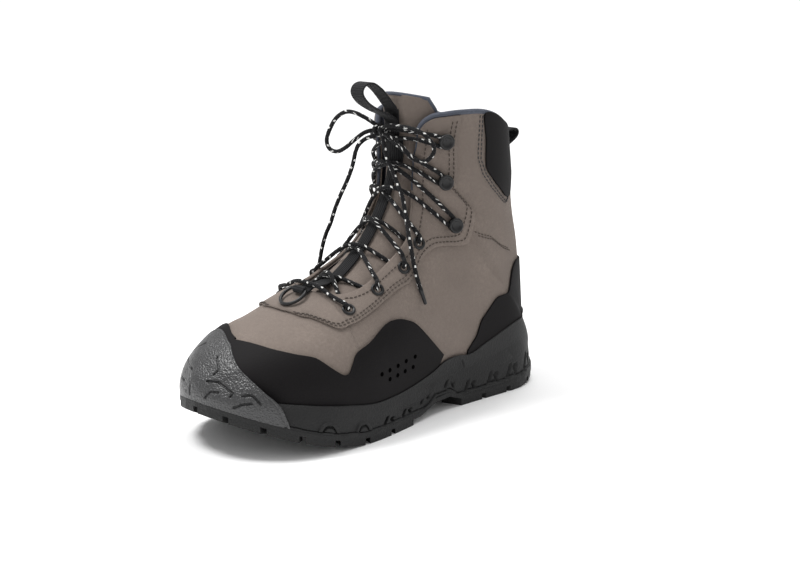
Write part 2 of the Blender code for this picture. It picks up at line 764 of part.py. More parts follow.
def cutter(rows, name):
    """A thick patch along the upper, over rows of (u, v) places, that cuts an overlay out."""
    bm = bmesh.new()
    for _, side in SIDES:
        lines = rows(side)
        u, v = lines[len(lines) // 2][len(lines[0]) // 2]
        outward = last_frame(u, v, side)[3]
        verts = grid_faces(bm, [[Vector(last_point(u, v, side)[0]) for u, v in line]
                                for line in lines])
        middle = verts[len(lines) // 2][len(lines[0]) // 2].link_faces[0]
        middle.normal_update()
        if middle.normal.dot(outward) < 0:
            bmesh.ops.reverse_faces(bm, faces=list({f for row in verts for p in row
                                                    for f in p.link_faces}))
    weld(bm)
    split(bm)
    lift(bm, -CUTTER_DEPTH)
    thicken(bm, OVERLAY_GAP + OVERLAY_WALL + 2 * CUTTER_DEPTH)
    return finish(name + "_form", bm, None, guide=True)


def make_overlay(name, rows, material):
    """A skin a gap above the upper's own faces, cut out by the overlay's form."""
    bm = bmesh.new()
    upper_surface(bm)
    lift(bm, OVERLAY_GAP)
    thicken(bm, OVERLAY_WALL)
    overlay = finish(name, bm, material, sharp=50)
    boolean(overlay, "INTERSECT", cutter(rows, name))
    return overlay


def ladder(table, steps, across):
    """Cross lines between the top and the foot of an overlay's table."""
    back_u = solve(lambda u: side_top_z(0.02) + OVERLAY_GAP - last_point(u, 1.0, LATERAL)[:, 2],
                   U_HEEL, 0.9)

    def rows(side):
        count = int(table.columns["row"][-1]) * steps
        lines = []
        for k in range(count + 1):
            row = k / steps
            top = np.array([float(table.at("top_u", row)), float(table.at("top_v", row))])
            foot = np.array([float(table.at("foot_u", row)), float(table.at("foot_v", row))])
            if k == count and table.columns["top_v"][-1] == 1:
                foot = np.array([max(foot[0], back_u), 1.0])
            else:
                foot[1] = min(foot[1], side_wall_v(foot[0], side))
            lines.append([tuple(top + (foot - top) * j / across) for j in range(across + 1)])
        return lines
    return rows


def eyestay_rows(side):
    """Lines from the ridge, over the throat, out to the eyestay's edge."""
    places = (0.228, 0.233, 0.244, 0.260, 0.278, *UPPER_ROWS[UPPER_ROWS.index(U_THROAT):-1], 0.990)
    return [[(u, float(EYESTAY.at("edge", u)) * j / 4) for j in range(5)] for u in places]


def make_overlays(film, fabric):
    make_overlay("rand", ladder(RAND, 1, 3), film)
    make_overlay("heel_counter", ladder(COUNTER, 1, 3), film)
    make_overlay("collar_patch", ladder(COLLAR_PATCH, 1, 3), film)
    make_overlay("eyestay", eyestay_rows, fabric)


# Tongue

TONGUE = Table("u half",
               (0.262, 0.090), (0.285, 0.180), (0.320, 0.240), (0.400, 0.285), (0.530, 0.300),
               (0.640, 0.265), (0.750, 0.240), (0.900, 0.245), (1.000, 0.255), (1.070, 0.225))
TONGUE_ROWS = (0.262, 0.285, 0.32, 0.37, 0.43, 0.49, 0.54, 0.58, 0.62, 0.66, 0.70, 0.76, 0.84,
               0.92, 1.00, 1.055, 1.07)
TONGUE_COLUMNS = 4
TONGUE_SEAT_TO = 0.34


def width_v(u, side, half):
    """v at which the section is half wide."""
    return solve(lambda v: half - abs(last_point(u, v, side, rim=False)[:, 0]), 0, 0.6)


def middle_band(bm, stations, half_at, columns, depth):
    """A band over the ridge, half_at(u) wide on each side, moved in by depth."""
    for _, side in SIDES:
        rows = []
        for u in stations:
            edge = width_v(u, side, half_at(u))
            shares = np.array([edge * j / columns for j in range(columns + 1)])
            rows.append([Vector(p) for p in last_point(u, shares, side, rim=False)])
        grid_faces(bm, rows, flip=side == LATERAL)
    weld(bm)
    lift(bm, depth)


def tongue_depth(place):
    """How far the tongue's face lies under the upper's: sewn to the vamp, then lower."""
    seat_y = last_point(TONGUE_SEAT_TO, 0.0, LATERAL)[0, 1]
    front_y = last_point(TONGUE_ROWS[1], 0.0, LATERAL)[0, 1]
    share = float(ease((place.y - front_y) / (seat_y - front_y)))
    return -(UPPER_WALL + GAP + (TONGUE_DROP - GAP) * share)


def make_tongue(fabric, webbing):
    top = UPPER_WALL + TONGUE_DROP
    bm = bmesh.new()
    middle_band(bm, TONGUE_ROWS, lambda u: float(TONGUE.at("half", u)) * BALL_WIDTH,
                TONGUE_COLUMNS, tongue_depth)
    thicken(bm, -TONGUE_THICKNESS)
    finish("tongue", bm, fabric, sharp=50)

    strip_rows = [row for row in TONGUE_ROWS if 0.36 < row < 1.01]
    bm = bmesh.new()
    middle_band(bm, strip_rows, lambda u: WEBBING_WIDTH / 2, 1, GAP * 1.5 - top)
    thicken(bm, WEBBING_THICKNESS)
    finish("tongue_webbing", bm, webbing, sharp=50)

    bm = bmesh.new()
    middle_band(bm, (0.76, 0.80, 0.84, 0.88), lambda u: KEEPER_WIDTH / 2, 2,
                GAP * 3 + WEBBING_THICKNESS - top)
    thicken(bm, WEBBING_THICKNESS)
    finish("lace_keeper", bm, webbing, sharp=50)


# Fittings

EYELET_SIDES = 8
LACE_SIDES = 6
OVERLAY_TOP = OVERLAY_GAP + OVERLAY_WALL
LACE_SEAT = OVERLAY_TOP + GAP + LACE_DIAMETER / 2


def seat(u, v, side, height, reach):
    """A fitting's place: its point, the ways towards the collar and the ridge, and outwards.

    It clears the surface within reach, which may curve up round it."""
    point, along, across, normal = last_frame(u, v, side)
    inward = (-across + normal * across.dot(normal)).normalized()
    upward = normal.cross(inward) if normal.cross(inward).dot(along) > 0 else inward.cross(normal)
    du, dv = reach / along_rate(u, v, side), reach / across_rate(u, v, side)
    near = [Vector(last_point(a, b, side)[0]) - point
            for a, b in ((u - du, v), (u + du, v), (u, v - dv), (u, v + dv),
                         (u - du, v - dv), (u + du, v + dv), (u - du, v + dv), (u + du, v - dv))]
    return point + normal * (height + max(0, *[way.dot(normal) for way in near])), upward, inward, normal


def along_rate(u, v, side):
    """Metres along the upper for each unit of u."""
    a, b = last_point(np.array([u - 0.005, u + 0.005]), v, side)
    return float(np.linalg.norm(b - a)) / 0.01


def across_rate(u, v, side):
    """Metres round the upper for each unit of v."""
    a, b = last_point(u, np.array([v - 0.005, v + 0.005]), side)
    return float(np.linalg.norm(b - a)) / 0.01


def make_eyelet(name, u, v, side, material):
    """A rounded washer on the eyestay."""
    point, upward, inward, normal = seat(u, v, side, OVERLAY_TOP + GAP, EYELET_RADIUS)
    profile = [(EYELET_HOLE, 0.0), (EYELET_RADIUS, 0.0), (EYELET_RADIUS * 0.85, EYELET_HEIGHT),
               (EYELET_HOLE * 1.2, EYELET_HEIGHT)]
    bm = bmesh.new()
    rings = []
    for k in range(EYELET_SIDES):
        turn = 2 * pi * k / EYELET_SIDES
        way = upward * cos(turn) + inward * sin(turn)
        rings.append([bm.verts.new(point + way * reach + normal * rise) for reach, rise in profile])
    for k in range(EYELET_SIDES):
        low, high = rings[k], rings[(k + 1) % EYELET_SIDES]
        for j in range(4):
            m = (j + 1) % 4
            bm.faces.new((low[j], high[j], high[m], low[m]))
    close_solid(bm)
    finish(name, bm, material, sharp=50)


# The lace hook's strip of metal: how far it reaches towards the ridge, how high it stands and
# half its width, in shares of the hook's radius.
HOOK = Table("row reach rise half",
             (0, -1.00, 0.00, 0.25), (1, -0.75, 0.00, 0.66), (2, -0.30, 0.00, 0.95),
             (3, 0.30, 0.00, 0.95), (4, 0.72, 0.02, 0.72), (5, 1.02, 0.16, 0.56),
             (6, 1.18, 0.48, 0.52), (7, 1.06, 0.80, 0.50), (8, 0.66, 0.93, 0.46),
             (9, 0.28, 0.86, 0.30))
HOOK_METAL = 0.0012


def make_hook(name, u, v, side, material):
    """A lace hook pressed from one strip: a round base whose throat side curls back over it."""
    point, upward, inward, normal = seat(u, v, side, OVERLAY_TOP + GAP + HOOK_METAL / 2, HOOK_RADIUS)
    reach, rise, half = [HOOK.columns[name] * HOOK_RADIUS for name in ("reach", "rise", "half")]
    path = [point + inward * float(a) + normal * float(b) for a, b in zip(reach, rise)]
    bm = bmesh.new()
    strap(bm, path, [upward * float(w) / HOOK_RADIUS for w in half], 2 * HOOK_RADIUS, HOOK_METAL)
    finish(name, bm, material, sharp=50)


def ridge_place(u, rise):
    """A point above the ridge at u."""
    point, _, _, normal = last_frame(u, 0.0, LATERAL, rim=False)
    return point + normal * rise


RING_RADIUS = 0.0098
RING_STRAIGHT = 0.0062
RING_ROD = 0.0012
RING_CENTRE_U = 0.268
RING_LOW = 0.0033
RING_HIGH = 0.0052
TAB_FROM = 0.385
TAB_RISES = Table("u rise",
                  (0.262, 0.0034), (0.300, 0.0031), (0.312, 0.0029), (0.325, 0.0010),
                  (0.345, -0.0018), (0.385, -0.0032))


def make_ring_and_tab(metal, webbing):
    """The ring over the throat's foot, and the webbing tab that holds it."""
    centre, _, _, normal = last_frame(RING_CENTRE_U, 0.0, LATERAL)
    width = Vector((1, 0, 0))
    forward = width.cross(normal).normalized()
    if forward.y < 0:
        forward = -forward
    path = []
    for k in range(18):
        turn = 2 * pi * k / 18
        back = min(RING_RADIUS * sin(turn), RING_STRAIGHT)
        share = (back + RING_RADIUS) / (RING_STRAIGHT + RING_RADIUS)
        path.append(centre + width * RING_RADIUS * cos(turn) + forward * back
                    + normal * (RING_LOW + (RING_HIGH - RING_LOW) * share))
    bm = bmesh.new()
    tube(bm, path, RING_ROD, LACE_SIDES, closed=True)
    close_solid(bm)
    finish("lace_ring", bm, metal, sharp=60)

    rod = centre + forward * RING_STRAIGHT + normal * RING_HIGH
    turn_radius = RING_ROD + GAP + WEBBING_THICKNESS / 2
    places = [u for u in np.linspace(TAB_FROM, 0.300, 8)]
    line = [ridge_place(float(u), float(TAB_RISES.at("rise", u))) for u in places]
    loop = [rod - normal * turn_radius * cos(a) - forward * turn_radius * sin(a)
            for a in np.linspace(0, 1.35 * pi, 8)]
    bm = bmesh.new()
    strap(bm, line + loop, width, WEBBING_WIDTH * 0.9, WEBBING_THICKNESS)
    finish("ring_tab", bm, webbing, sharp=50)


# Laces

CROSSING_HIGH = 0.0015
CROSSING_LOW = 0.0003
BOTTOM_BAR_RISE = 0.0056
LACE_HOLD = 0.0034
HOOK_LACE_LIFT = 0.0008
U_ANKLE = 0.56
EYELET_SHORT = EYELET_RADIUS + LACE_DIAMETER * 0.9
HOOK_SHORT = HOOK_RADIUS * 1.18 + HOOK_METAL + LACE_DIAMETER / 2 + 2 * GAP


def fitting_v(u, v, side):
    """v of a fitting that stands as far from the throat's edge as the lateral one at v."""
    reach = (v - throat_v(u, LATERAL)) * across_rate(u, v, LATERAL)
    return throat_v(u, side) + reach / across_rate(u, v, side)


def bar_end(row, side, way):
    """Where a bar stops beside a row's eyelet or hook, below it (-1) or above it (1)."""
    count = len(EYELETS.columns["u"])
    table, k, short = (EYELETS, row, EYELET_SHORT) if row < count else (HOOKS, row - count, HOOK_SHORT)
    u = float(table.columns["u"][k])
    v = fitting_v(u, float(table.columns["v"][k]), side)
    return (u + way * LACE_HOLD / along_rate(u, v, side), v - short / across_rate(u, v, side), side)


def bar_path(start, end, ridge_rise, middle_rise=None):
    """A lace over the throat from (u, v, side) to (u, v, side), bent over the ridge."""
    if middle_rise is None:
        middle_rise = (ridge_rise + LACE_SEAT) / 2
    halves = []
    for far_u, far_v, side in (start, end):
        middle_u = (start[0] + end[0]) / 2
        edge = throat_v(far_u, side) - 0.02
        seat_rise = LACE_SEAT + (HOOK_LACE_LIFT if far_u > U_ANKLE else 0)
        stops = [(edge / 2, middle_rise), (edge, seat_rise), (far_v, seat_rise)]
        if (far_v - edge) * across_rate(far_u, far_v, side) > 3 * LACE_DIAMETER:
            stops.insert(2, ((edge + far_v) / 2, seat_rise))
        half = []
        for v, rise in stops:
            u = middle_u + (far_u - middle_u) * v / far_v
            point, _, _, normal = last_frame(u, v, side, rim=False)
            half.append(point + normal * rise)
        halves.append(half)
    return [*halves[0][::-1], ridge_place((start[0] + end[0]) / 2, ridge_rise), *halves[1]]


def make_crossing(name, bars, material):
    """One or two lace bars over the throat, joined where they cross."""
    for k, path in enumerate(bars):
        bm = bmesh.new()
        tube(bm, path, LACE_DIAMETER / 2, LACE_SIDES)
        close_solid(bm)
        if k == 0:
            crossing = finish(name, bm, material, sharp=60)
        else:
            boolean(crossing, "UNION", finish(name + "_other", bm, None, guide=True))


def make_laces(lace):
    last = len(EYELETS.columns["u"]) + len(HOOKS.columns["u"]) - 1
    for k in range(last):
        bars = [bar_path(bar_end(k, LATERAL, 1), bar_end(k + 1, MEDIAL, -1), CROSSING_HIGH),
                bar_path(bar_end(k, MEDIAL, 1), bar_end(k + 1, LATERAL, -1), CROSSING_LOW)]
        make_crossing("lace_crossing_%d" % (k + 1), bars, lace)
    bottom = bar_path(bar_end(0, LATERAL, -1), bar_end(0, MEDIAL, -1), BOTTOM_BAR_RISE,
                      BOTTOM_BAR_RISE + 2 * GAP)
    make_crossing("lace_bottom_bar", [bottom], lace)
    top = bar_path(bar_end(last, LATERAL, 1), bar_end(last, MEDIAL, 1), CROSSING_HIGH)
    make_crossing("lace_top_bar", [top], lace)


# The pull loops: how far each place stands off the tongue's face (y) and its height (z), and
# places up the back seam with how far they stand off the collar patch.
TONGUE_LOOP = ((0.0205, 0.2085), (0.0204, 0.2130), (0.0192, 0.2172), (0.0120, 0.2212),
               (0.0030, 0.2248), (-0.0080, 0.2310), (-0.0135, 0.2380), (-0.0110, 0.2435),
               (-0.0035, 0.2448), (0.0045, 0.2405), (0.0110, 0.2345), (0.0160, 0.2290),
               (0.0192, 0.2255), (0.0199, 0.2215))
HEEL_LOOP = Table("row u out",
                  (0, 0.957, 0.0000), (1, 0.964, 0.0000), (2, 0.970, 0.0045), (3, 0.974, 0.0105),
                  (4, 0.979, 0.0155), (5, 0.986, 0.0172), (6, 0.992, 0.0150), (7, 0.994, 0.0100),
                  (8, 0.992, 0.0045), (9, 0.985, 0.0004), (10, 0.979, 0.0000))
HEEL_LOOP_WIDTH = 0.020


def make_pull_loops(webbing):
    width = Vector((1, 0, 0))
    bm = bmesh.new()
    strap(bm, [Vector((0, y, z)) for y, z in TONGUE_LOOP], width, WEBBING_WIDTH, WEBBING_THICKNESS)
    finish("tongue_pull_loop", bm, webbing, sharp=50)

    path = []
    for u, out in zip(HEEL_LOOP.columns["u"], HEEL_LOOP.columns["out"]):
        low, high = [Vector(p) for p in last_point(np.array([u - 0.004, u + 0.004]), 1.0, LATERAL)]
        up = (high - low).normalized()
        back = Vector((0, up.z, -up.y))
        seam = Vector(last_point(u, 1.0, LATERAL)[0])
        path.append(seam + back * (OVERLAY_TOP + GAP + WEBBING_THICKNESS / 2 + float(out)))
    bm = bmesh.new()
    strap(bm, path, width, HEEL_LOOP_WIDTH, WEBBING_THICKNESS)
    finish("heel_pull_loop", bm, webbing, sharp=50)


# The knot, the bow's loops and the lace's ends lie where they were chosen by hand, in metres in
# the finished model's frame.
KNOT_CENTRE = Vector((0.0010, 0.0104, 0.2095))
KNOT_RADII = Vector((0.0060, 0.0046, 0.0048))
BOW_MEDIAL = ((-0.0034, 0.0088, 0.2131), (-0.0068, 0.0050, 0.2168), (-0.0145, -0.0005, 0.2215),
              (-0.0230, -0.0030, 0.2220), (-0.0310, -0.0050, 0.2175), (-0.0365, -0.0066, 0.2095),
              (-0.0405, -0.0070, 0.2000), (-0.0385, -0.0060, 0.1935), (-0.0320, -0.0040, 0.1918),
              (-0.0245, -0.0022, 0.1955), (-0.0175, 0.0003, 0.2015), (-0.0110, 0.0040, 0.2070),
              (-0.0050, 0.0082, 0.2095))
BOW_LATERAL = ((0.0061, 0.0083, 0.2123), (0.0120, 0.0075, 0.2138), (0.0210, 0.0120, 0.2135),
               (0.0325, 0.0170, 0.2111), (0.0380, 0.0216, 0.2060), (0.0400, 0.0260, 0.1985),
               (0.0380, 0.0248, 0.1920), (0.0340, 0.0206, 0.1885), (0.0280, 0.0150, 0.1914),
               (0.0220, 0.0110, 0.1990), (0.0145, 0.0072, 0.2050), (0.0069, 0.0073, 0.2077))
END_LATERAL = ((0.0038, 0.0090, 0.2048), (0.0056, 0.0086, 0.1990), (0.0080, 0.0088, 0.1905),
               (0.0120, 0.0098, 0.1823), (0.0170, 0.0101, 0.1735), (0.0230, 0.0100, 0.1637),
               (0.0265, 0.0091, 0.1549), (0.0300, 0.0082, 0.1460), (0.0357, 0.0044, 0.1366),
               (0.0388, 0.0043, 0.1263), (0.0419, 0.0038, 0.1160), (0.0450, 0.0050, 0.1040),
               (0.0466, 0.0068, 0.0965))
END_MEDIAL = ((-0.0026, 0.0080, 0.2053), (-0.0070, 0.0030, 0.2035), (-0.0105, -0.0010, 0.1995),
              (-0.0130, -0.0026, 0.1940), (-0.0175, -0.0022, 0.1820), (-0.0240, -0.0019, 0.1701),
              (-0.0300, -0.0027, 0.1595), (-0.0355, -0.0038, 0.1480), (-0.0390, -0.0054, 0.1367),
              (-0.0415, -0.0080, 0.1283), (-0.0432, -0.0106, 0.1176), (-0.0440, -0.0125, 0.1070),
              (-0.0455, -0.0140, 0.0965), (-0.0472, -0.0152, 0.0860))
AGLET_LENGTH = 0.011
AGLET_RADIUS = 0.0014


def make_cord(name, places, material):
    """A cord as a round curve through its places, a point every two or three diameters."""
    path = catmull(places, 4)
    kept = [path[0]]
    for point in path[1:-1]:
        if (point - kept[-1]).length > 2 * LACE_DIAMETER and (point - path[-1]).length > LACE_DIAMETER:
            kept.append(point)
    kept.append(path[-1])
    curve = bpy.data.curves.new(name, "CURVE")
    curve.dimensions = "3D"
    curve.bevel_depth = LACE_DIAMETER / 2
    curve.bevel_resolution = 2
    curve.use_fill_caps = True
    spline = curve.splines.new("POLY")
    spline.points.add(len(kept) - 1)
    for point, place in zip(spline.points, kept):
        point.co = (*place, 1.0)
    curve.materials.append(material)
    bpy.context.scene.collection.objects.link(bpy.data.objects.new(name, curve))


def make_aglet(name, places, material):
    """The hard tip that goes on from a cord's last place."""
    way = (Vector(places[-1]) - Vector(places[-2])).normalized()
    start = Vector(places[-1]) + way * GAP
    bm = bmesh.new()
    tube(bm, [start, start + way * AGLET_LENGTH], AGLET_RADIUS, 8)
    close_solid(bm)
    finish(name, bm, material, sharp=60)


def make_bow(lace, plastic):
    bm = bmesh.new()
    bmesh.ops.create_uvsphere(bm, u_segments=10, v_segments=6, radius=1.0)
    bmesh.ops.scale(bm, vec=KNOT_RADII, verts=bm.verts[:])
    bmesh.ops.translate(bm, vec=KNOT_CENTRE, verts=bm.verts[:])
    finish("lace_knot", bm, lace, sharp=60)
    make_cord("bow_loop_medial", BOW_MEDIAL, lace)
    make_cord("bow_loop_lateral", BOW_LATERAL, lace)
    make_cord("lace_end_lateral", END_LATERAL, lace)
    make_cord("lace_end_medial", END_MEDIAL, lace)
    make_aglet("aglet_lateral", END_LATERAL, plastic)
    make_aglet("aglet_medial", END_MEDIAL, plastic)


def make_fittings(metal, webbing, lace):
    for _, side in SIDES:
        word = "lateral" if side == LATERAL else "medial"
        for k, (u, v) in enumerate(zip(EYELETS.columns["u"], EYELETS.columns["v"])):
            make_eyelet("eyelet_%s_%d" % (word, k + 1), float(u),
                        fitting_v(float(u), float(v), side), side, metal)
        for k, (u, v) in enumerate(zip(HOOKS.columns["u"], HOOKS.columns["v"])):
            make_hook("hook_%s_%d" % (word, k + 1), float(u),
                      fitting_v(float(u), float(v), side), side, metal)
    make_ring_and_tab(metal, webbing)
    make_laces(lace)


def centre_on_origin():
    """Moves every piece so that the sole's widest places lie evenly about X = 0."""
    places = [float(outline_x(station(i / OUTLINE_STEPS), side))
              for i in range(OUTLINE_STEPS + 1) for _, side in SIDES]
    for thing in bpy.data.objects:
        thing.location.x -= (max(places) + min(places)) / 2


def main():
    for thing in list(bpy.data.objects):
        bpy.data.objects.remove(thing, do_unlink=True)
    rubber = make_material("sole_rubber", (0.055, 0.056, 0.058), 0.7)
    bumper_rubber = make_material("bumper_rubber", (0.085, 0.085, 0.086), 0.75)
    fabric = make_material("upper_fabric", (0.28, 0.245, 0.22), 0.85)
    film = make_material("black_film", (0.018, 0.017, 0.018), 0.6)
    foam = make_material("insole_foam", (0.05, 0.055, 0.07), 0.9)
    webbing = make_material("black_webbing", (0.015, 0.015, 0.016), 0.8)
    metal = make_material("black_metal", (0.02, 0.02, 0.021), 0.4)
    lace = make_material("lace_cord", (0.03, 0.03, 0.032), 0.8)
    plastic = make_material("black_plastic", (0.02, 0.02, 0.021), 0.5)

    make_outsole(rubber)
    bm = bmesh.new()
    upper_surface(bm, closed=True)
    lift(bm, 2 * GAP)
    last_guide = finish("last_form", bm, None, guide=True)
    bumper_guide = finish("bumper_form", bumper_solid(grow=True), None, guide=True)
    make_midsole(rubber, last_guide, bumper_guide)
    make_upper(fabric)
    make_bumper(bumper_rubber)
    make_insole(foam)
    make_overlays(film, fabric)
    make_tongue(fabric, webbing)
    make_fittings(metal, webbing, lace)
    make_pull_loops(webbing)
    centre_on_origin()
    make_bow(lace, plastic)


main()
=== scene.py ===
# %% [markdown]
# # A wading boot, made step by step
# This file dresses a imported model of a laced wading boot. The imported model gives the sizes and
# the places, and each step below makes one piece or one finish over it. The toe points to -Y,
# the lateral side is +X, and the sole stands on Z = 0. All lengths are in metres.

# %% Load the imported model
import bpy
import bmesh
import numpy as np
from math import cos, pi, radians, sin
from mathutils import Matrix, Vector
from mathutils.bvhtree import BVHTree


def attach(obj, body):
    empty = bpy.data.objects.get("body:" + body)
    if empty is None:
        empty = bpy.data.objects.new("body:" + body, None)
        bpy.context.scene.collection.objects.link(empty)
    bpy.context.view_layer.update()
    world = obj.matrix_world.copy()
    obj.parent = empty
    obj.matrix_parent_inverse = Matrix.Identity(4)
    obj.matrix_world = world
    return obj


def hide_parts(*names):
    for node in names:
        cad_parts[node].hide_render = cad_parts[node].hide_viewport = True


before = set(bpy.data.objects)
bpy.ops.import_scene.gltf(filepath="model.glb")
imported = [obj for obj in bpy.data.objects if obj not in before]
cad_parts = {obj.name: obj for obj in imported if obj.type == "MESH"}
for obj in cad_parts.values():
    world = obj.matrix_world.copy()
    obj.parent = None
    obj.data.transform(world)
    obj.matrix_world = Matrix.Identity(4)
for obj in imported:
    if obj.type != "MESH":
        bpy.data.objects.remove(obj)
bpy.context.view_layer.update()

# %% [markdown]
# ## The camera and the light
# A product picture is taken from a little above with a long lens, so the boot keeps its
# proportions. The camera stands where the picture's was: it looks at the boot's outer side
# and its toe. A broad light from above, two soft lamps and a pale floor give the even light of
# a studio.

# %% The camera
AIM = Vector((0.0006, 0.0295, 0.0884))
BACK = Vector((0.7027, -0.6737, 0.2284)).normalized()
DISTANCE = 1.10

camera_data = bpy.data.cameras.new("studio_camera")
camera_data.sensor_width = 36
camera_data.lens = 64.94
camera = bpy.data.objects.new("studio_camera", camera_data)
bpy.context.scene.collection.objects.link(camera)
camera.location = AIM + BACK * DISTANCE
camera.rotation_euler = BACK.to_track_quat("Z", "Y").to_euler()
bpy.context.scene.camera = camera
print("camera at", tuple(round(x, 3) for x in camera.location))


# %% The lamps, the sky and the floor
def lamp(name, kind, place, aim, power):
    """A light at a place, turned to its aim."""
    lamp_data = bpy.data.lights.new(name, kind)
    lamp_data.energy = power
    holder = bpy.data.objects.new(name, lamp_data)
    bpy.context.scene.collection.objects.link(holder)
    holder.location = place
    holder.rotation_euler = (Vector(place) - Vector(aim)).to_track_quat("Z", "Y").to_euler()
    return lamp_data


# The sun is wide, so that the floor stays white far from the boot.
overhead_light = lamp("overhead_light", "SUN", (-0.15, 0.42, 1.25), (0, 0, 0), 1.9)
overhead_light.angle = radians(50)
for name, place, size, power in (("key_lamp", (-0.55, -0.55, 1.50), 0.6, 20),
                                 ("fill_lamp", (1.30, 0.35, 0.80), 1.2, 1)):
    soft_light = lamp(name, "AREA", place, (0, 0, 0.1), power)
    soft_light.shape = "DISK"
    soft_light.size = size

sky = bpy.data.worlds.new("studio_sky")
sky.use_nodes = True
sky.node_tree.nodes["Background"].inputs["Color"].default_value = (1.0, 1.0, 1.0, 1)
sky.node_tree.nodes["Background"].inputs["Strength"].default_value = 0.60
bpy.context.scene.world = sky
bpy.context.scene.view_settings.view_transform = "Standard"


# %% [markdown]
# ## Small helpers
# Every finish is a node material. These helpers add a node, join two sockets and make the
# patterns that cloth and rubber need: waves for threads, noise for grain. A cloth's pattern
# follows the piece's own UV map, which is in metres, so threads keep their size everywhere.

# %% Material helpers
class Finish:
    """A material with its Principled shader and short calls to add nodes."""

    def __init__(self, name, colour, roughness, specular, sheen=0.0):
        self.material = bpy.data.materials.new(name)
        self.material.use_nodes = True
        self.tree = self.material.node_tree
        self.shader = self.tree.nodes["Principled BSDF"]
        self.shader.inputs["Base Color"].default_value = (*colour, 1)
        self.shader.inputs["Roughness"].default_value = roughness
        self.shader.inputs["Specular IOR Level"].default_value = specular
        self.shader.inputs["Sheen Weight"].default_value = sheen
        self.last_bump = None

    def node(self, kind, links=(), **values):
        node = self.tree.nodes.new(kind)
        for key, value in values.items():
            if key in node.inputs:
                node.inputs[key].default_value = value
            else:
                setattr(node, key, value)
        for key, source in dict(links).items():
            self.tree.links.new(source, node.inputs[key])
        return node

    def place(self, kind="Object", scale=(1, 1, 1), turn=0.0):
        source = self.node("ShaderNodeTexCoord").outputs[kind]
        mapping = self.node("ShaderNodeMapping", {"Vector": source})
        mapping.inputs["Scale"].default_value = scale
        mapping.inputs["Rotation"].default_value = (0, 0, turn)
        return mapping.outputs["Vector"]

    def noise(self, scale, detail):
        return self.node("ShaderNodeTexNoise", {"Vector": self.place()}, Scale=scale,
                         Detail=detail).outputs["Fac"]

    def wave(self, threads, direction, place, distortion=0.0):
        """threads is how many waves lie in one metre of the place."""
        return self.node("ShaderNodeTexWave", {"Vector": place}, wave_type="BANDS",
                         bands_direction=direction, wave_profile="SIN",
                         Scale=threads * 0.05 * 2 * pi, Distortion=distortion).outputs["Fac"]

    def math(self, operation, a, b):
        node = self.node("ShaderNodeMath", operation=operation)
        for socket, value in zip(node.inputs, (a, b)):
            if isinstance(value, (int, float)):
                socket.default_value = value
            else:
                self.tree.links.new(value, socket)
        return node.outputs[0]

    def ramp(self, value, *stops):
        node = self.node("ShaderNodeValToRGB", {"Fac": value})
        while len(node.color_ramp.elements) < len(stops):
            node.color_ramp.elements.new(0.5)
        for element, (place, colour) in zip(node.color_ramp.elements, stops):
            element.position = place
            element.color = (*colour, 1)
        return node.outputs["Color"]

    def colour(self, socket):
        self.tree.links.new(socket, self.shader.inputs["Base Color"])

    def rough(self, value, low, high):
        node = self.node("ShaderNodeMapRange", {"Value": value})
        node.inputs["To Min"].default_value = low
        node.inputs["To Max"].default_value = high
        self.tree.links.new(node.outputs["Result"], self.shader.inputs["Roughness"])

    def bump(self, height, depth):
        links = {"Height": height}
        if self.last_bump:
            links["Normal"] = self.last_bump
        node = self.node("ShaderNodeBump", links, Strength=1.0, Distance=depth)
        self.last_bump = node.outputs["Normal"]
        self.tree.links.new(self.last_bump, self.shader.inputs["Normal"])


def shade(colour, factor):
    return tuple(part * factor for part in colour)


# %% [markdown]
# ## The finishes
# The upper is a fine taupe cloth. The overlays are a matte black film. The sole is dark grey
# rubber and the toe bumper is lighter and pebbled. The tapes are ribbed and the lace is a
# round braid with pale flecks. Each one gets its own node tree with threads or grain.

# %% Cloth, webbing and lace
TAUPE = (0.200, 0.165, 0.143)
NAVY = (0.026, 0.032, 0.052)
BLUE_GREY = (0.086, 0.095, 0.120)
WEAVE_CONTRAST = 0.24


def woven(name, colour, thread, depth):
    """A plain weave: two sets of threads that pass over and under each other."""
    cloth = Finish(name, colour, 0.90, 0.12, 0.05)
    uv = cloth.place("UV")
    across = cloth.wave(1 / thread, "X", uv, 0.4)
    along = cloth.wave(1 / thread, "Y", uv, 0.4)
    weave = cloth.math("MULTIPLY", across, along)
    blotch = cloth.math("ADD", cloth.math("MULTIPLY", cloth.noise(28, 3), 0.5),
                        cloth.math("MULTIPLY", cloth.noise(460, 3), 0.5))
    mix = cloth.math("ADD", cloth.math("MULTIPLY", weave, 0.50),
                     cloth.math("MULTIPLY", blotch, 0.60))
    cloth.colour(cloth.ramp(mix, (0.34, shade(colour, 1 - WEAVE_CONTRAST)), (0.43, colour),
                            (0.53, shade(colour, 1 + WEAVE_CONTRAST))))
    cloth.bump(weave, depth)
    cloth.bump(cloth.noise(420, 3), 0.00022)
    cloth.rough(blotch, 0.80, 0.92)
    return cloth.material


def ribbed(name, colour, rib, depth):
    """Webbing: ribs across the tape, which follow its UV map."""
    tape = Finish(name, colour, 0.80, 0.15, 0.05)
    uv = tape.place("UV")
    ribs = tape.wave(1 / rib, "X", uv)
    threads = tape.wave(1 / 0.0007, "Y", uv)
    mix = tape.math("ADD", tape.math("MULTIPLY", ribs, 0.7), tape.math("MULTIPLY", threads, 0.3))
    tape.colour(tape.ramp(mix, (0.1, shade(colour, 0.55)), (0.9, shade(colour, 1.5))))
    tape.bump(ribs, depth)
    tape.bump(threads, depth * 0.35)
    return tape.material


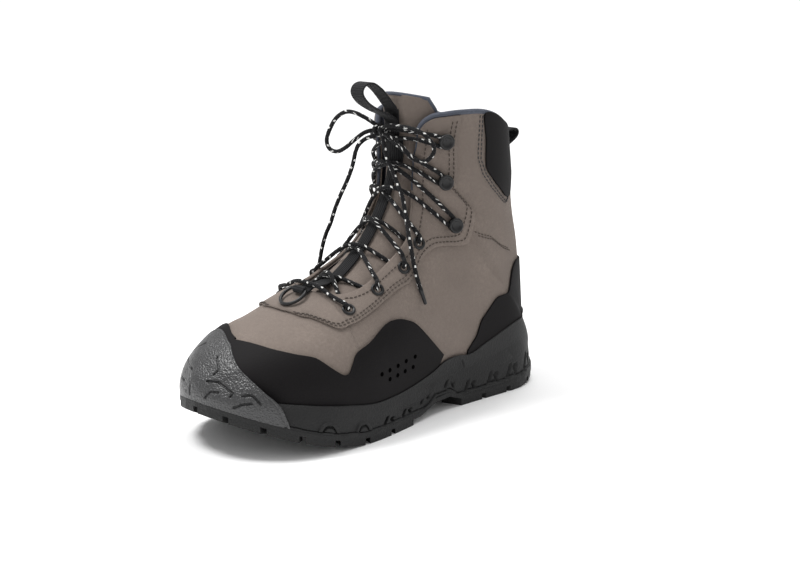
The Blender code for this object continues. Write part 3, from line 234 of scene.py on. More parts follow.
def braided(name, colour):
    """A round braid whose strands cross on the slant, with pairs of pale flecks."""
    braid = Finish(name, colour, 0.78, 0.15, 0.05)
    uv = braid.place("UV")
    left = braid.wave(1 / 0.0011, "DIAGONAL", uv)
    right = braid.wave(1 / 0.0011, "DIAGONAL", braid.place("UV", (-1, 1, 1)))
    strands = braid.math("MULTIPLY", left, right)
    slanted = braid.place("UV", turn=0.22)
    round_it = braid.wave(1 / 0.0050, "X", slanted)
    along_it = braid.wave(1 / 0.0068, "Y", slanted)
    fleck = braid.math("MULTIPLY", braid.math("GREATER_THAN", along_it, 0.85),
                       braid.math("GREATER_THAN", round_it, 0.78))
    dark = braid.ramp(strands, (0.1, shade(colour, 0.6)), (0.9, shade(colour, 1.8)))
    mix = braid.node("ShaderNodeMix", {"Factor": fleck}, data_type="RGBA")
    mix.inputs[7].default_value = (0.72, 0.72, 0.70, 1)
    braid.tree.links.new(dark, mix.inputs[6])
    braid.colour(mix.outputs[2])
    braid.bump(strands, 0.0003)
    return braid.material


taupe_cloth = woven("taupe_cloth", TAUPE, 0.0007, 0.00016)
navy_lining = woven("navy_lining", NAVY, 0.0010, 0.0002)
binding_tape = woven("binding_tape", BLUE_GREY, 0.0008, 0.0002)
dark_gusset = woven("dark_gusset", (0.010, 0.010, 0.013), 0.0010, 0.0002)
black_webbing = ribbed("black_webbing", (0.012, 0.012, 0.013), 0.0016, 0.00035)
lace_braid = braided("lace_braid", (0.011, 0.011, 0.012))
thread_finish = woven("sewing_thread", shade(TAUPE, 0.42), 0.0004, 0.00005)
dark_thread = woven("dark_thread", (0.055, 0.055, 0.058), 0.0004, 0.00005)
print("cloths", len(bpy.data.materials))


# %% Film, rubber, metal and plastic
PATCH_SCALE = 18
PATCH_CONTRAST = 0.18


def grained(name, colour, roughness, grain, depth, specular):
    """A moulded skin: fine grain in its bump and slow changes in its colour and gloss."""
    skin_finish = Finish(name, colour, roughness, specular)
    fine = skin_finish.noise(grain, 4)
    slow = skin_finish.noise(PATCH_SCALE, 3)
    skin_finish.colour(skin_finish.ramp(slow, (0.3, shade(colour, 1 - PATCH_CONTRAST)),
                                        (0.7, shade(colour, 1 + PATCH_CONTRAST))))
    skin_finish.rough(slow, roughness - 0.08, roughness + 0.08)
    skin_finish.bump(fine, depth)
    return skin_finish.material


black_film = grained("black_film", (0.0070, 0.0062, 0.0066), 0.66, 900, 0.00016, 0.10)
sole_rubber = grained("sole_rubber", (0.0155, 0.0155, 0.0157), 0.54, 700, 0.0006, 0.20)
black_metal = grained("black_metal", (0.008, 0.008, 0.0085), 0.32, 1200, 0.00003, 0.35)
black_plastic = grained("black_plastic", (0.012, 0.012, 0.013), 0.35, 800, 0.00004, 0.30)

pebbles = Finish("bumper_rubber", (0.026, 0.026, 0.027), 0.36, 0.62)
cells = pebbles.node("ShaderNodeTexVoronoi", {"Vector": pebbles.place()}, Scale=850.0,
                     feature="SMOOTH_F1").outputs["Distance"]
slow_patches = pebbles.noise(20, 3)
pebbles.colour(pebbles.ramp(slow_patches, (0.3, (0.019, 0.019, 0.020)),
                            (0.7, (0.028, 0.028, 0.029))))
pebbles.bump(cells, -0.0006)
pebbles.bump(pebbles.noise(1500, 3), 0.00015)
bumper_rubber = pebbles.material
print("finishes", len(bpy.data.materials))

# %% [markdown]
# ## The last
# A boot is built round a last, a solid foot shape. Here the last is a short table of sections,
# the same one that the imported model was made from, so a piece that is laid on it falls on the
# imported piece. A place on it is u, from the toe (0) to the collar (1), and v, from the ridge
# over the instep (0) to the sole's edge or the back seam (1).

# %% The sizes and the tables
SOLE_LENGTH = 0.315
BALL_WIDTH = 0.127
COLLAR_HEIGHT = 0.222
UPPER_WALL = 0.0026
UPPER_INSET = 0.007
LACE_DIAMETER = 0.0032
FRAME_SHIFT = 0.001025
LATERAL = 1
MEDIAL = -1
SIDES = (("lateral", LATERAL), ("medial", MEDIAL))


class Table:
    """Rows of named columns, read between its rows along a smooth curve over the first column."""

    def __init__(self, names, *rows):
        self.columns = dict(zip(names.split(), np.array(rows, float).T))
        self.key = names.split()[0]

    def at(self, name, x):
        keys = self.columns[self.key]
        values = self.columns[name]
        x = np.asarray(x, float)
        steps = np.diff(keys)
        rises = np.diff(values) / steps
        slopes = np.concatenate([rises[:1], rises, rises[-1:]])
        before, after = slopes[:-1], slopes[1:]
        width_before = np.concatenate([steps[:1], steps])
        width_after = np.concatenate([steps, steps[-1:]])
        slope = (before * width_after + after * width_before) / (width_before + width_after)
        slope = np.where(before * after <= 0, 0, slope)
        i = np.clip(np.searchsorted(keys, x, side="right") - 1, 0, len(keys) - 2)
        t = (x - keys[i]) / steps[i]
        return (values[i] * (2 * t**3 - 3 * t**2 + 1)
                + slope[i] * steps[i] * (t**3 - 2 * t**2 + t)
                + values[i + 1] * (3 * t**2 - 2 * t**3)
                + slope[i + 1] * steps[i] * (t**3 - t**2))


SOLE = Table("s lateral medial side_top lean",
             (0.00, 0.350, 0.350, 0.252, 0.046), (0.12, 0.378, 0.370, 0.246, 0.040),
             (0.24, 0.372, 0.345, 0.200, 0.036), (0.31, 0.371, 0.326, 0.174, 0.034),
             (0.36, 0.372, 0.312, 0.182, 0.032), (0.40, 0.380, 0.312, 0.178, 0.030),
             (0.46, 0.400, 0.320, 0.150, 0.028), (0.56, 0.450, 0.380, 0.124, 0.022),
             (0.65, 0.490, 0.455, 0.119, 0.020), (0.73, 0.500, 0.500, 0.132, 0.020),
             (0.82, 0.480, 0.520, 0.152, 0.022), (0.90, 0.440, 0.520, 0.172, 0.026),
             (1.00, 0.380, 0.500, 0.190, 0.030))
LAST = Table("u f_s f_z b_s b_z lateral medial widest front back",
             (0.00, 0.985, 0.338, 0.985, 0.190, 0.340, 0.380, 0.80, 2.4, 2.0),
             (0.10, 0.900, 0.352, 0.900, 0.135, 0.410, 0.430, 0.78, 2.4, 2.0),
             (0.20, 0.800, 0.388, 0.800, 0.105, 0.450, 0.465, 0.76, 2.3, 2.0),
             (0.30, 0.700, 0.448, 0.700, 0.095, 0.460, 0.455, 0.74, 2.2, 2.0),
             (0.40, 0.610, 0.510, 0.600, 0.095, 0.435, 0.400, 0.72, 2.0, 2.0),
             (0.50, 0.535, 0.600, 0.470, 0.100, 0.395, 0.340, 0.70, 2.0, 2.0),
             (0.60, 0.485, 0.700, 0.250, 0.110, 0.355, 0.320, 0.66, 2.0, 2.0),
             (0.66, 0.465, 0.755, 0.090, 0.120, 0.345, 0.320, 0.66, 2.0, 2.0),
             (0.70, 0.455, 0.790, 0.0222, 0.135, 0.335, 0.315, 0.60, 2.0, 2.0),
             (0.80, 0.445, 0.870, 0.030, 0.400, 0.325, 0.315, 0.50, 2.0, 2.0),
             (0.90, 0.445, 0.940, 0.062, 0.660, 0.325, 0.315, 0.50, 2.0, 2.0),
             (1.00, 0.447, 1.010, 0.088, 0.900, 0.330, 0.325, 0.50, 2.0, 2.0),
             (1.08, 0.449, 1.065, 0.100, 0.960, 0.330, 0.325, 0.50, 2.0, 2.0))
RIM = Table("v height",
            (0.10, 0.900), (0.18, 0.945), (0.205, 0.970), (0.235, 0.986), (0.32, 0.999),
            (0.43, 1.003), (0.50, 1.000), (0.58, 0.986), (0.68, 0.956), (0.80, 0.922),
            (1.00, 0.900))
THROAT = Table("u half",
               (0.300, 0.000), (0.304, 0.075), (0.312, 0.125), (0.325, 0.170), (0.345, 0.205),
               (0.38, 0.225), (0.45, 0.232), (0.53, 0.232), (0.58, 0.222), (0.64, 0.180),
               (0.70, 0.154), (0.80, 0.152), (0.92, 0.168), (1.00, 0.180), (1.08, 0.185))
U_TOE = 0.20
U_HEEL = 0.70
U_THROAT = 0.300
U_RIM = 0.78
print("tables", len(LAST.columns["u"]), "sections")


# %% The sole's outline
def ease(x):
    """0 below 0, 1 above 1 and a smooth step between."""
    x = np.clip(x, 0, 1)
    return x * x * (3 - 2 * x)


def swing(s):
    return -0.075 * BALL_WIDTH * ease((s - 0.62) / 0.38)


def outline_x(s, side, inset=0.0):
    s = np.asarray(s, float)
    end = inset / SOLE_LENGTH
    half = SOLE.at("lateral" if side == LATERAL else "medial", s) * BALL_WIDTH - inset
    toe = np.clip((s - 0.78) / (1 - end - 0.78), 0, 1)
    heel = np.clip((0.17 - s) / (0.17 - end), 0, 1)
    share = (1 - toe**2.25) ** (1 / 2.25) * (1 - heel**2.3) ** (1 / 2.3)
    return swing(s) + side * (half - side * swing(s)) * share


def station(t):
    """Stations that lie closer together at the sole's ends."""
    return (1 - np.cos(pi * t)) / 2


def floor_z(s):
    spring = 0.028 * np.clip((s - 0.68) / 0.32, 0, 1) ** 1.6
    return spring + 0.0046 * np.clip((0.17 - s) / 0.17, 0, 1) ** 1.5


def tread_top_z(s):
    arch = 1 - ease((abs(s - 0.414) / 0.064 - 0.35) / 0.65)
    return floor_z(s) + 0.008 + 0.006 * arch


def side_top_z(s):
    return SOLE.at("side_top", s) * COLLAR_HEIGHT


# %% The last's surface
def last_point(u, v, side, rim=True):
    u, v = np.broadcast_arrays(np.atleast_1d(np.asarray(u, float)), np.asarray(v, float))
    toe = np.clip(u / U_TOE, 0, 1) * pi / 2
    box_s = LAST.at("f_s", U_TOE)
    tip_s = 1 - UPPER_INSET / SOLE_LENGTH
    round_s = box_s + (tip_s - box_s) * np.cos(toe)
    row = np.where(u < U_TOE, U_TOE * np.clip((1 - round_s) / (1 - box_s), 0, 1), u)
    f_s = np.where(u < U_TOE, round_s, LAST.at("f_s", u))
    b_s = np.where(u < U_TOE, round_s, LAST.at("b_s", u))
    b_z = LAST.at("b_z", row)
    f_z = b_z + (LAST.at("f_z", row) - b_z) * np.sin(toe) ** 0.8
    half = LAST.at("lateral" if side == LATERAL else "medial", row) * BALL_WIDTH
    half = half * np.sin(toe) ** 0.85
    widest = LAST.at("widest", row)
    middle = swing(b_s)
    edge = side * (outline_x(b_s, side, UPPER_INSET) - middle) / np.maximum(half, 1e-6)
    edge = np.where(u < U_HEEL, np.clip(edge, 0, 1), 0)
    shaft = ease((u - 0.45) / 0.25)
    t = (1 - shaft) * (1 - np.cos(pi * v / 2)) + shaft * (1 - np.cos(pi * v)) / 2
    front_power, back_power = LAST.at("front", row), LAST.at("back", row)
    fore = np.clip(t / widest, 0, 1)
    aft = np.clip((t - widest) / (1 - widest), 0, 1)
    front = (1 - (1 - fore) ** front_power) ** (1 / front_power)
    back = edge + (1 - edge) * (1 - aft**back_power) ** (1 / back_power)
    x = middle * (1 - shaft) + side * half * np.where(t < widest, front, back)
    z = f_z + (b_z - f_z) * t
    if rim:
        plain = LAST.at("f_z", 1.0) + (LAST.at("b_z", 1.0) - LAST.at("f_z", 1.0)) * t
        z = z + (RIM.at("height", np.maximum(v, 0.10)) - plain) * ease((u - U_RIM) / (1 - U_RIM))
    y = (0.5 - (f_s + (b_s - f_s) * t)) * SOLE_LENGTH
    return np.stack([x + FRAME_SHIFT, y, z * COLLAR_HEIGHT], axis=-1)


def unit(vectors):
    return vectors / np.maximum(np.linalg.norm(vectors, axis=-1, keepdims=True), 1e-12)


def outward(u, v, side, rim=True):
    """Outward directions of the last."""
    u, v = np.broadcast_arrays(np.asarray(u, float), np.asarray(v, float))
    v_in = np.clip(v, 0, 0.996)
    along = (last_point(u + 0.003, v_in, side, rim)
             - last_point(np.maximum(u - 0.003, 0), v_in, side, rim))
    across = (last_point(u, v_in + 0.004, side, rim)
              - last_point(u, np.maximum(v_in - 0.004, 0), side, rim))
    normal = np.cross(across, along) * side
    normal[..., 0] = np.where(v <= 0, 0, normal[..., 0])
    normal = np.where((u < 1e-6)[..., None], np.array([0.0, -1.0, 0.0]), normal)
    return unit(normal)


# %% [markdown]
# ## Creases
# A worn or stuffed boot isn't smooth: the cloth breaks where the ankle bends and sags a little
# over the quarter. Each crease is a soft trough or ridge between two places of the last. All
# pieces that lie on the last share them, so an overlay folds with the cloth below it.

# %% The creases
CREASES = Table("row u1 v1 u2 v2 width depth",
                (0, 0.470, 0.520, 0.585, 0.700, 0.010, -0.0014),
                (1, 0.530, 0.480, 0.640, 0.620, 0.011, 0.0011),
                (2, 0.590, 0.440, 0.720, 0.560, 0.010, -0.0015),
                (3, 0.640, 0.400, 0.790, 0.500, 0.012, 0.0012),
                (4, 0.745, 0.480, 0.790, 0.760, 0.012, -0.0013),
                (5, 0.800, 0.420, 0.860, 0.680, 0.014, 0.0010),
                (6, 0.860, 0.560, 0.880, 0.900, 0.013, -0.0010),
                (7, 0.290, 0.480, 0.390, 0.640, 0.018, -0.0010),
                (8, 0.205, 0.060, 0.215, 0.400, 0.014, -0.0008),
                (9, 0.420, 0.620, 0.540, 0.900, 0.014, 0.0009))
SHAFT_RUN = 0.27
SIDE_RUN = 0.13


def crease(u, v, side):
    """How far the creases move the surface outwards."""
    u, v = np.broadcast_arrays(np.asarray(u, float), np.asarray(v, float))
    total = np.zeros(u.shape)
    size = np.array([SHAFT_RUN, SIDE_RUN])
    for k in range(len(CREASES.columns["row"])):
        u1, v1, u2, v2, width, depth = [CREASES.columns[name][k]
                                        for name in ("u1", "v1", "u2", "v2", "width", "depth")]
        start = np.array([u1, v1 if side == LATERAL else v1 + 0.03]) * size
        way = np.array([u2, v2]) * size - start
        here = np.stack([u, v], axis=-1) * size - start
        share = np.clip((here @ way) / (way @ way), 0, 1)
        miss = np.linalg.norm(here - share[..., None] * way, axis=-1)
        total += depth * np.exp(-(miss / (width * 0.62)) ** 2) * np.sin(pi * share)
    hem = ease(v / 0.02) * ease((1.0 - u) / 0.06)
    return total * hem


def skin(u, v, side, lift=0.0, rim=True):
    """Points above the last, with its creases."""
    u, v = np.broadcast_arrays(np.asarray(u, float), np.asarray(v, float))
    shape = u.shape
    u, v = u.ravel(), v.ravel()
    lift = np.broadcast_to(np.asarray(lift, float), shape).ravel()
    rise = lift + (crease(u, v, side) if rim else 0.0)
    points = last_point(u, v, side, rim) + outward(u, v, side, rim) * rise[:, None]
    return points.reshape(shape + (3,))


print("creases", len(CREASES.columns["row"]))


# %% [markdown]
# ## From a flat grid to a fitted panel
# A shoemaker cuts a flat panel and pulls it over the last. The same is done here: a flat grid
# primitive is added, each of its points is laid on the last, and its two halves are joined and
# merged at the ridge. Solidify then gives the panel its real thickness.

# %% Panels
def clear_selection():
    bpy.ops.object.select_all(action="DESELECT")


def activate(*things):
    clear_selection()
    for thing in things:
        thing.select_set(True)
    bpy.context.view_layer.objects.active = things[0]


def laid_grid(name, points):
    """A grid primitive whose points are moved to points[row, column], with a UV map in metres."""
    rows, columns = points.shape[:2]
    clear_selection()
    bpy.ops.mesh.primitive_grid_add(x_subdivisions=columns - 1, y_subdivisions=rows - 1, size=1)
    panel = bpy.context.active_object
    panel.name = name
    panel.data.name = name
    mesh = panel.data
    mesh.vertices.foreach_set("co", points.reshape(-1, 3).ravel())
    middle_row, middle_column = rows // 2, columns // 2
    step_u = np.linalg.norm(np.diff(points, axis=1), axis=2)
    step_v = np.linalg.norm(np.diff(points, axis=0), axis=2)
    run_u = np.concatenate([np.zeros((rows, 1)), np.cumsum(step_u, axis=1)], axis=1)
    run_v = np.concatenate([np.zeros((1, columns)), np.cumsum(step_v, axis=0)], axis=0)
    run_u = run_u - run_u[:, middle_column:middle_column + 1]
    run_v = run_v - run_v[middle_row:middle_row + 1, :]
    corner = np.empty(len(mesh.loops), dtype=np.int32)
    mesh.loops.foreach_get("vertex_index", corner)
    uv = np.stack([run_u.ravel()[corner], run_v.ravel()[corner]], axis=1)
    layer = mesh.uv_layers.active or mesh.uv_layers.new(name="UVMap")
    layer.name = "UVMap"
    layer.data.foreach_set("uv", uv.ravel())
    mesh.update()
    return panel


def edit_whole(thing, operator, **values):
    """Runs one mesh operator on the whole of a piece."""
    activate(thing)
    bpy.ops.object.mode_set(mode="EDIT")
    bpy.ops.mesh.select_all(action="SELECT")
    operator(**values)
    bpy.ops.object.mode_set(mode="OBJECT")


def face_out(panel, ways):
    """Turns the panel over if its faces point against ways, one direction for each vertex."""
    mesh = panel.data
    mesh.update()
    normals = np.empty(len(mesh.vertices) * 3)
    mesh.vertices.foreach_get("normal", normals)
    if (normals.reshape(-1, 3) * ways).sum() < 0:
        edit_whole(panel, bpy.ops.mesh.flip_normals)


def joined(name, panels, merge=1.2e-5):
    """Joins panels into one object and merges the points that meet."""
    activate(*panels)
    if len(panels) > 1:
        bpy.ops.object.join()
    whole = bpy.context.active_object
    whole.name = name
    whole.data.name = name
    edit_whole(whole, bpy.ops.mesh.remove_doubles, threshold=merge)
    return whole


def apply(thing, kind, **values):
    """Adds one modifier and applies it."""
    activate(thing)
    step = thing.modifiers.new(kind.title(), kind)
    for key, value in values.items():
        setattr(step, key, value)
    bpy.ops.object.modifier_apply(modifier=step.name)


def dressed(thing, material, smooth, nodes=()):
    """Gives a finished piece its material, smooth shading, body and the nodes it stands for."""
    if material is not None:
        thing.data.materials.clear()
        thing.data.materials.append(material)
    activate(thing)
    bpy.ops.object.shade_smooth_by_angle(angle=radians(smooth))
    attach(thing, "root")
    if nodes:
        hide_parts(*nodes)
    print(thing.name, len(thing.data.vertices), "points")
    return thing


def fitted_panel(name, place, rows, columns, lift):
    """A panel laid on both sides of the last; place(side, a, b) gives u and v."""
    a, b = np.meshgrid(np.linspace(0, 1, rows), np.linspace(0, 1, columns), indexing="ij")
    halves = []
    for _, side in SIDES:
        u, v = place(side, a, b)
        half = laid_grid(name, skin(u, v, side, lift))
        face_out(half, outward(u.ravel(), v.ravel(), side))
        halves.append(half)
    return joined(name, halves)


def throat_v(u, side):
    """v of the throat's edge, for an array of u."""
    u = np.atleast_1d(np.asarray(u, float))
    tries = np.linspace(0, 0.6, 301)
    half = np.where(u > U_THROAT, THROAT.at("half", u), 0.0) * BALL_WIDTH
    grid_u, grid_v = np.meshgrid(u, tries, indexing="ij")
    x = last_point(grid_u.ravel(), grid_v.ravel(), side)[:, 0].reshape(grid_u.shape) - FRAME_SHIFT
    gap = half[:, None] - abs(x)
    first = np.argmax(gap <= 0, axis=1)
    rows = np.arange(len(u))
    high, low = gap[rows, first], gap[rows, np.maximum(first - 1, 0)]
    share = np.where(first > 0, low / np.maximum(low - high, 1e-9), 0)
    edge = tries[np.maximum(first - 1, 0)] + share * (tries[1] - tries[0])
    return np.where(half <= 0, 0, edge)


def side_wall_v(u, side):
    """v at which the sole's side wall meets the last, for an array of u."""
    u = np.atleast_1d(np.asarray(u, float))
    tries = np.linspace(0.4, 1.0, 241)
    grid_u, grid_v = np.meshgrid(u, tries, indexing="ij")
    spots = last_point(grid_u.ravel(), grid_v.ravel(), side)
    over = (spots[:, 2] - side_top_z(0.5 - spots[:, 1] / SOLE_LENGTH)).reshape(grid_u.shape)
    first = np.argmax(over <= 0, axis=1)
    reached = (over <= 0).any(axis=1)
    return np.where(reached, tries[first], 1.0)


# %% [markdown]
# ## The hollow upper
# The upper is one cloth shell with a wall. It is open at the collar, down the throat and
# underneath, where the sole closes it. The inner face gets the navy lining: Solidify puts its
# inner faces in the next material slot.

# %% The upper
U_LEVELS = np.concatenate([np.linspace(0, 0.03, 5)[:-1], np.linspace(0.03, 0.30, 46)[:-1],
                           np.array([0.30, 0.301, 0.303, 0.306, 0.310, 0.315, 0.322, 0.330]),
                           np.linspace(0.34, 0.69, 60), np.array([0.694, 0.697, 0.70]),
                           np.linspace(0.705, 1.0, 56)])


def upper_place(side, a, b):
    u = U_LEVELS[:, None] + 0 * b
    first = throat_v(U_LEVELS, side)[:, None]
    return u, first + (1 - first) * b


upper = fitted_panel("upper_cloth", upper_place, len(U_LEVELS), 72, 0.0)
upper.data.materials.clear()
upper.data.materials.append(taupe_cloth)
upper.data.materials.append(navy_lining)
apply(upper, "SOLIDIFY", thickness=UPPER_WALL, offset=-1, material_offset=1, material_offset_rim=0)
dressed(upper, None, 60, ["upper"])

# %% [markdown]
# ## The film overlays and the facing
# The rand, the heel counter and the collar patch are thin film, welded on. The facing, which
# carries the eyelets, is a second layer of the same cloth. Each is the strip between a top
# line and a foot line, read from a short table, and it sits just above the cloth.

# %% The overlays' tables
RAND = Table("row top_u top_v foot_u foot_v",
             (0, 0.1320, 0.000, 0.1245, 0.000), (1, 0.1360, 0.100, 0.1150, 0.090),
             (2, 0.1430, 0.220, 0.1010, 0.220), (3, 0.1530, 0.326, 0.0965, 0.370),
             (4, 0.1730, 0.440, 0.1030, 0.550), (5, 0.1980, 0.527, 0.1160, 0.710),
             (6, 0.2250, 0.636, 0.1450, 1.000), (7, 0.2500, 0.712, 0.2050, 1.000),
             (8, 0.2650, 0.722, 0.2500, 1.000), (9, 0.2800, 0.670, 0.2850, 1.000),
             (10, 0.2980, 0.618, 0.3200, 1.000), (11, 0.3440, 0.603, 0.3600, 1.000),
             (12, 0.4040, 0.573, 0.4100, 1.000), (13, 0.4360, 0.590, 0.4450, 1.000),
             (14, 0.4680, 0.632, 0.4750, 1.000), (15, 0.4940, 0.675, 0.5000, 1.000),
             (16, 0.5210, 0.766, 0.5230, 1.000), (17, 0.5400, 0.845, 0.5420, 1.000))
COUNTER = Table("row top_u top_v foot_u foot_v",
                (0, 0.583, 0.845, 0.5860, 1.000), (1, 0.592, 0.810, 0.6000, 1.000),
                (2, 0.604, 0.766, 0.6180, 1.000), (3, 0.628, 0.669, 0.6420, 1.000),
                (4, 0.676, 0.598, 0.6720, 1.000), (5, 0.738, 0.632, 0.7030, 1.000),
                (6, 0.778, 0.695, 0.7240, 1.000), (7, 0.797, 0.770, 0.7380, 1.000),
                (8, 0.808, 0.850, 0.7460, 1.000), (9, 0.815, 0.925, 0.7500, 1.000),
                (10, 0.818, 1.000, 0.7510, 1.000))
COLLAR_PATCH = Table("row top_u top_v foot_u foot_v",
                     (0, 0.8680, 0.620, 0.8720, 0.660), (1, 0.8760, 0.545, 0.8850, 0.700),
                     (2, 0.8950, 0.500, 0.9100, 0.735), (3, 0.9380, 0.508, 0.9250, 0.770),
                     (4, 0.9970, 0.520, 0.9350, 0.820), (5, 0.9980, 0.680, 0.9400, 0.880),
                     (6, 0.9980, 0.840, 0.9420, 0.940), (7, 0.9980, 1.000, 0.9430, 1.000))
EYESTAY = Table("u edge",
                (0.226, 0.000), (0.230, 0.100), (0.244, 0.218), (0.258, 0.320), (0.272, 0.393),
                (0.308, 0.435), (0.360, 0.452), (0.411, 0.460), (0.501, 0.473), (0.540, 0.440),
                (0.573, 0.393), (0.621, 0.368), (0.676, 0.397), (0.735, 0.414), (0.778, 0.423),
                (0.797, 0.343), (0.850, 0.350), (0.912, 0.356), (0.960, 0.370), (0.996, 0.388))
OVERLAY_LIFT = 0.0006
OVERLAY_THICKNESS = 0.0011
OVERLAY_TOP = 0.0016


# %% The film overlays
def strip_place(table, under=0.0, medial_rise=0.0):
    """The strip between a table's lines; under is how far its foot is moved down."""
    last = table.columns["row"][-1]

    def place(side, a, b):
        row = a * last
        top = np.stack([table.at("top_u", row), table.at("top_v", row)])
        foot = np.stack([table.at("foot_u", row), table.at("foot_v", row)])
        low = side_wall_v(foot[0][:, 0], side)[:, None] + 0.05
        foot[1] = np.where(foot[0] < U_HEEL, np.minimum(foot[1], low), foot[1])
        top[0] = top[0] + medial_rise * np.exp(-((top[1] - 0.25) / 0.19) ** 2) * (side == MEDIAL)
        foot[0] = foot[0] - under
        return top[0] + (foot[0] - top[0]) * b, top[1] + (foot[1] - top[1]) * b
    return place


def rounded(thing, width, segments, angle):
    """Rounds the edges that are sharper than an angle."""
    apply(thing, "BEVEL", width=width, segments=segments, limit_method="ANGLE",
          angle_limit=radians(angle))


def overlay(name, place, rows, columns, material, node):
    panel = fitted_panel(name, place, rows, columns, OVERLAY_LIFT)
    apply(panel, "SOLIDIFY", thickness=OVERLAY_THICKNESS, offset=1)
    rounded(panel, 0.0003, 2, 55)
    return dressed(panel, material, 50, [node])


for name, place, rows, columns, node in (
        ("rand_film", strip_place(RAND, 0.022, 0.024), 260, 34, "rand"),
        ("counter_film", strip_place(COUNTER, 0.012), 160, 40, "heel_counter"),
        ("patch_film", strip_place(COLLAR_PATCH), 120, 24, "collar_patch")):
    overlay(name, place, rows, columns, black_film, node)


# %% The facing
def facing_place(side, a, b):
    shared = U_LEVELS[(U_LEVELS >= 0.30) & (U_LEVELS < 0.985)]
    levels = np.concatenate([np.linspace(0.2265, 0.300, 26)[:-1], shared, [0.990]])
    levels = np.interp(np.linspace(0, 1, a.shape[0]), np.linspace(0, 1, len(levels)), levels)
    first = throat_v(levels, side)[:, None]
    edge = EYESTAY.at("edge", levels)[:, None]
    return levels[:, None] + 0 * b, first + (edge - first) * b


overlay("facing_cloth", facing_place, 210, 24, taupe_cloth, "eyestay")

# %% [markdown]
# ## The sole
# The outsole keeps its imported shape, whose lugs are already cut, and gets rubber with a fine
# grain. The side wall is remade as one dense skirt round the outline, because a smooth moulded
# wall shows every flat facet. Its step, arches and slanted slashes are pressed into it.

# %% The outsole and the insole
for node, material in (("outsole", sole_rubber), ("insole", navy_lining)):
    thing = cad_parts[node]
    for k in range(len(thing.material_slots)):
        thing.material_slots[k].material = material


# %% The side wall
ARCHES = Table("row s half high", (0, 0.805, 0.030, 0.50), (1, 0.710, 0.028, 0.48))
SLASHES = Table("row s low high",
                (0, 0.635, 0.06, 0.40), (1, 0.565, 0.08, 0.42), (2, 0.490, 0.20, 0.58),
                (3, 0.395, 0.14, 0.46), (4, 0.320, 0.06, 0.38), (5, 0.240, 0.06, 0.34),
                (6, 0.170, 0.08, 0.34), (7, 0.100, 0.10, 0.38))
WALL_STATIONS = 900
HEEL_STATIONS = 60
FACE_ROWS = 42
WALL_TOP = ((1.0, 0.0006, 0.0004), (1.0, 0.0014, 0.0005), (1.0, 0.0030, 0.0003),
            (1.0, 0.0060, -0.0004), (1.0, 0.0085, -0.0020))
WALL_BACK = ((0.4, 0.0085, 0.0), (0.0, 0.0060, 0.0), (0.0, 0.0, 0.0))
OUTER_ROWS = FACE_ROWS + len(WALL_TOP)


def press(distance, width):
    """A groove's share of its depth at a distance from its middle."""
    return np.exp(-(distance / width) ** 4)


def relief(s, b):
    """How far the side wall's marks stand out (+) or in (-) at station s and height share b."""
    wave = 0.06 + 0.018 * np.sin(s * 2 * pi / 0.072)
    depth = 0.0010 * (1 - ease((b - wave) / 0.02)) - 0.0009 * press(b - wave - 0.02, 0.014)
    for k in range(len(ARCHES.columns["row"])):
        middle, half, high = [ARCHES.columns[name][k] for name in ("s", "half", "high")]
        across = np.clip(abs(s - middle) / half, 0, 1)
        crown = high * (1 - across**2.6)
        inner = 0.62 * high * (1 - np.clip(across / 0.62, 0, 1) ** 2.6)
        under = (across < 1) * (b > 0.09)
        depth = depth + 0.0011 * ease((crown - b) / 0.06) * under
        depth = depth - 0.0018 * press(b - inner, 0.045) * (across < 0.62) * under
    for k in range(len(SLASHES.columns["row"])):
        s_mark, low, high = [SLASHES.columns[name][k] for name in ("s", "low", "high")]
        reach = ease((b - low) / 0.05) * ease((high - b) / 0.07)
        lean = s - s_mark + 0.016 * (b - (low + high) / 2) / (high - low)
        depth = depth - 0.0034 * press(lean, 0.0042) * reach
        tick = low + 0.10
        side_s = s - (s_mark - 0.021) - 0.05 * (b - tick)
        depth = depth - 0.0028 * press(side_s, 0.0042) * press(b - tick, 0.07)
        hook = s - (s_mark - 0.025)
        depth = depth - 0.0020 * press(hook, 0.0056) * press(b - tick - 0.075, 0.032)
    scoop = press(s - 0.335 - 0.05 * (b - 0.80), 0.0030) * press(b - 0.78, 0.10)
    return depth - 0.0012 * scoop


def side_wall(side):
    """Points of the wall: up its face, over its rounded top, and down again behind the cloth."""
    face = [(b, 0.0, 0.0) for b in np.linspace(0, 1, FACE_ROWS)]
    b, inward, rise = np.array([*face, *WALL_TOP, *WALL_BACK]).T
    s = station(np.linspace(0.0, 0.845, WALL_STATIONS))[:, None] + 0 * b
    lean = SOLE.at("lean", s) * BALL_WIDTH
    marks = relief(s, b) * (1 - ease((b - 0.97) / 0.03)) * (inward < 0.0001)
    inset = 0.0010 + lean * b**2.2 + inward - marks
    foot = tread_top_z(s) + 0.0002
    x = outline_x(s, side, inset) + FRAME_SHIFT
    y = (0.5 - s) * SOLE_LENGTH * (1 - 2 * inset / SOLE_LENGTH)
    return np.stack([x, y, foot + (side_top_z(s) - foot) * b + rise], axis=-1)


def fill_ends(thing):
    """Closes every open rim of a piece."""
    activate(thing)
    bpy.ops.object.mode_set(mode="EDIT")
    bpy.ops.mesh.select_all(action="DESELECT")
    bpy.ops.mesh.select_non_manifold(extend=False, use_boundary=True, use_wire=False,
                                     use_multi_face=False, use_non_contiguous=False,
                                     use_verts=False)
    bpy.ops.mesh.fill_holes(sides=0)
    bpy.ops.mesh.select_all(action="SELECT")
    bpy.ops.mesh.normals_make_consistent(inside=False)
    bpy.ops.object.mode_set(mode="OBJECT")


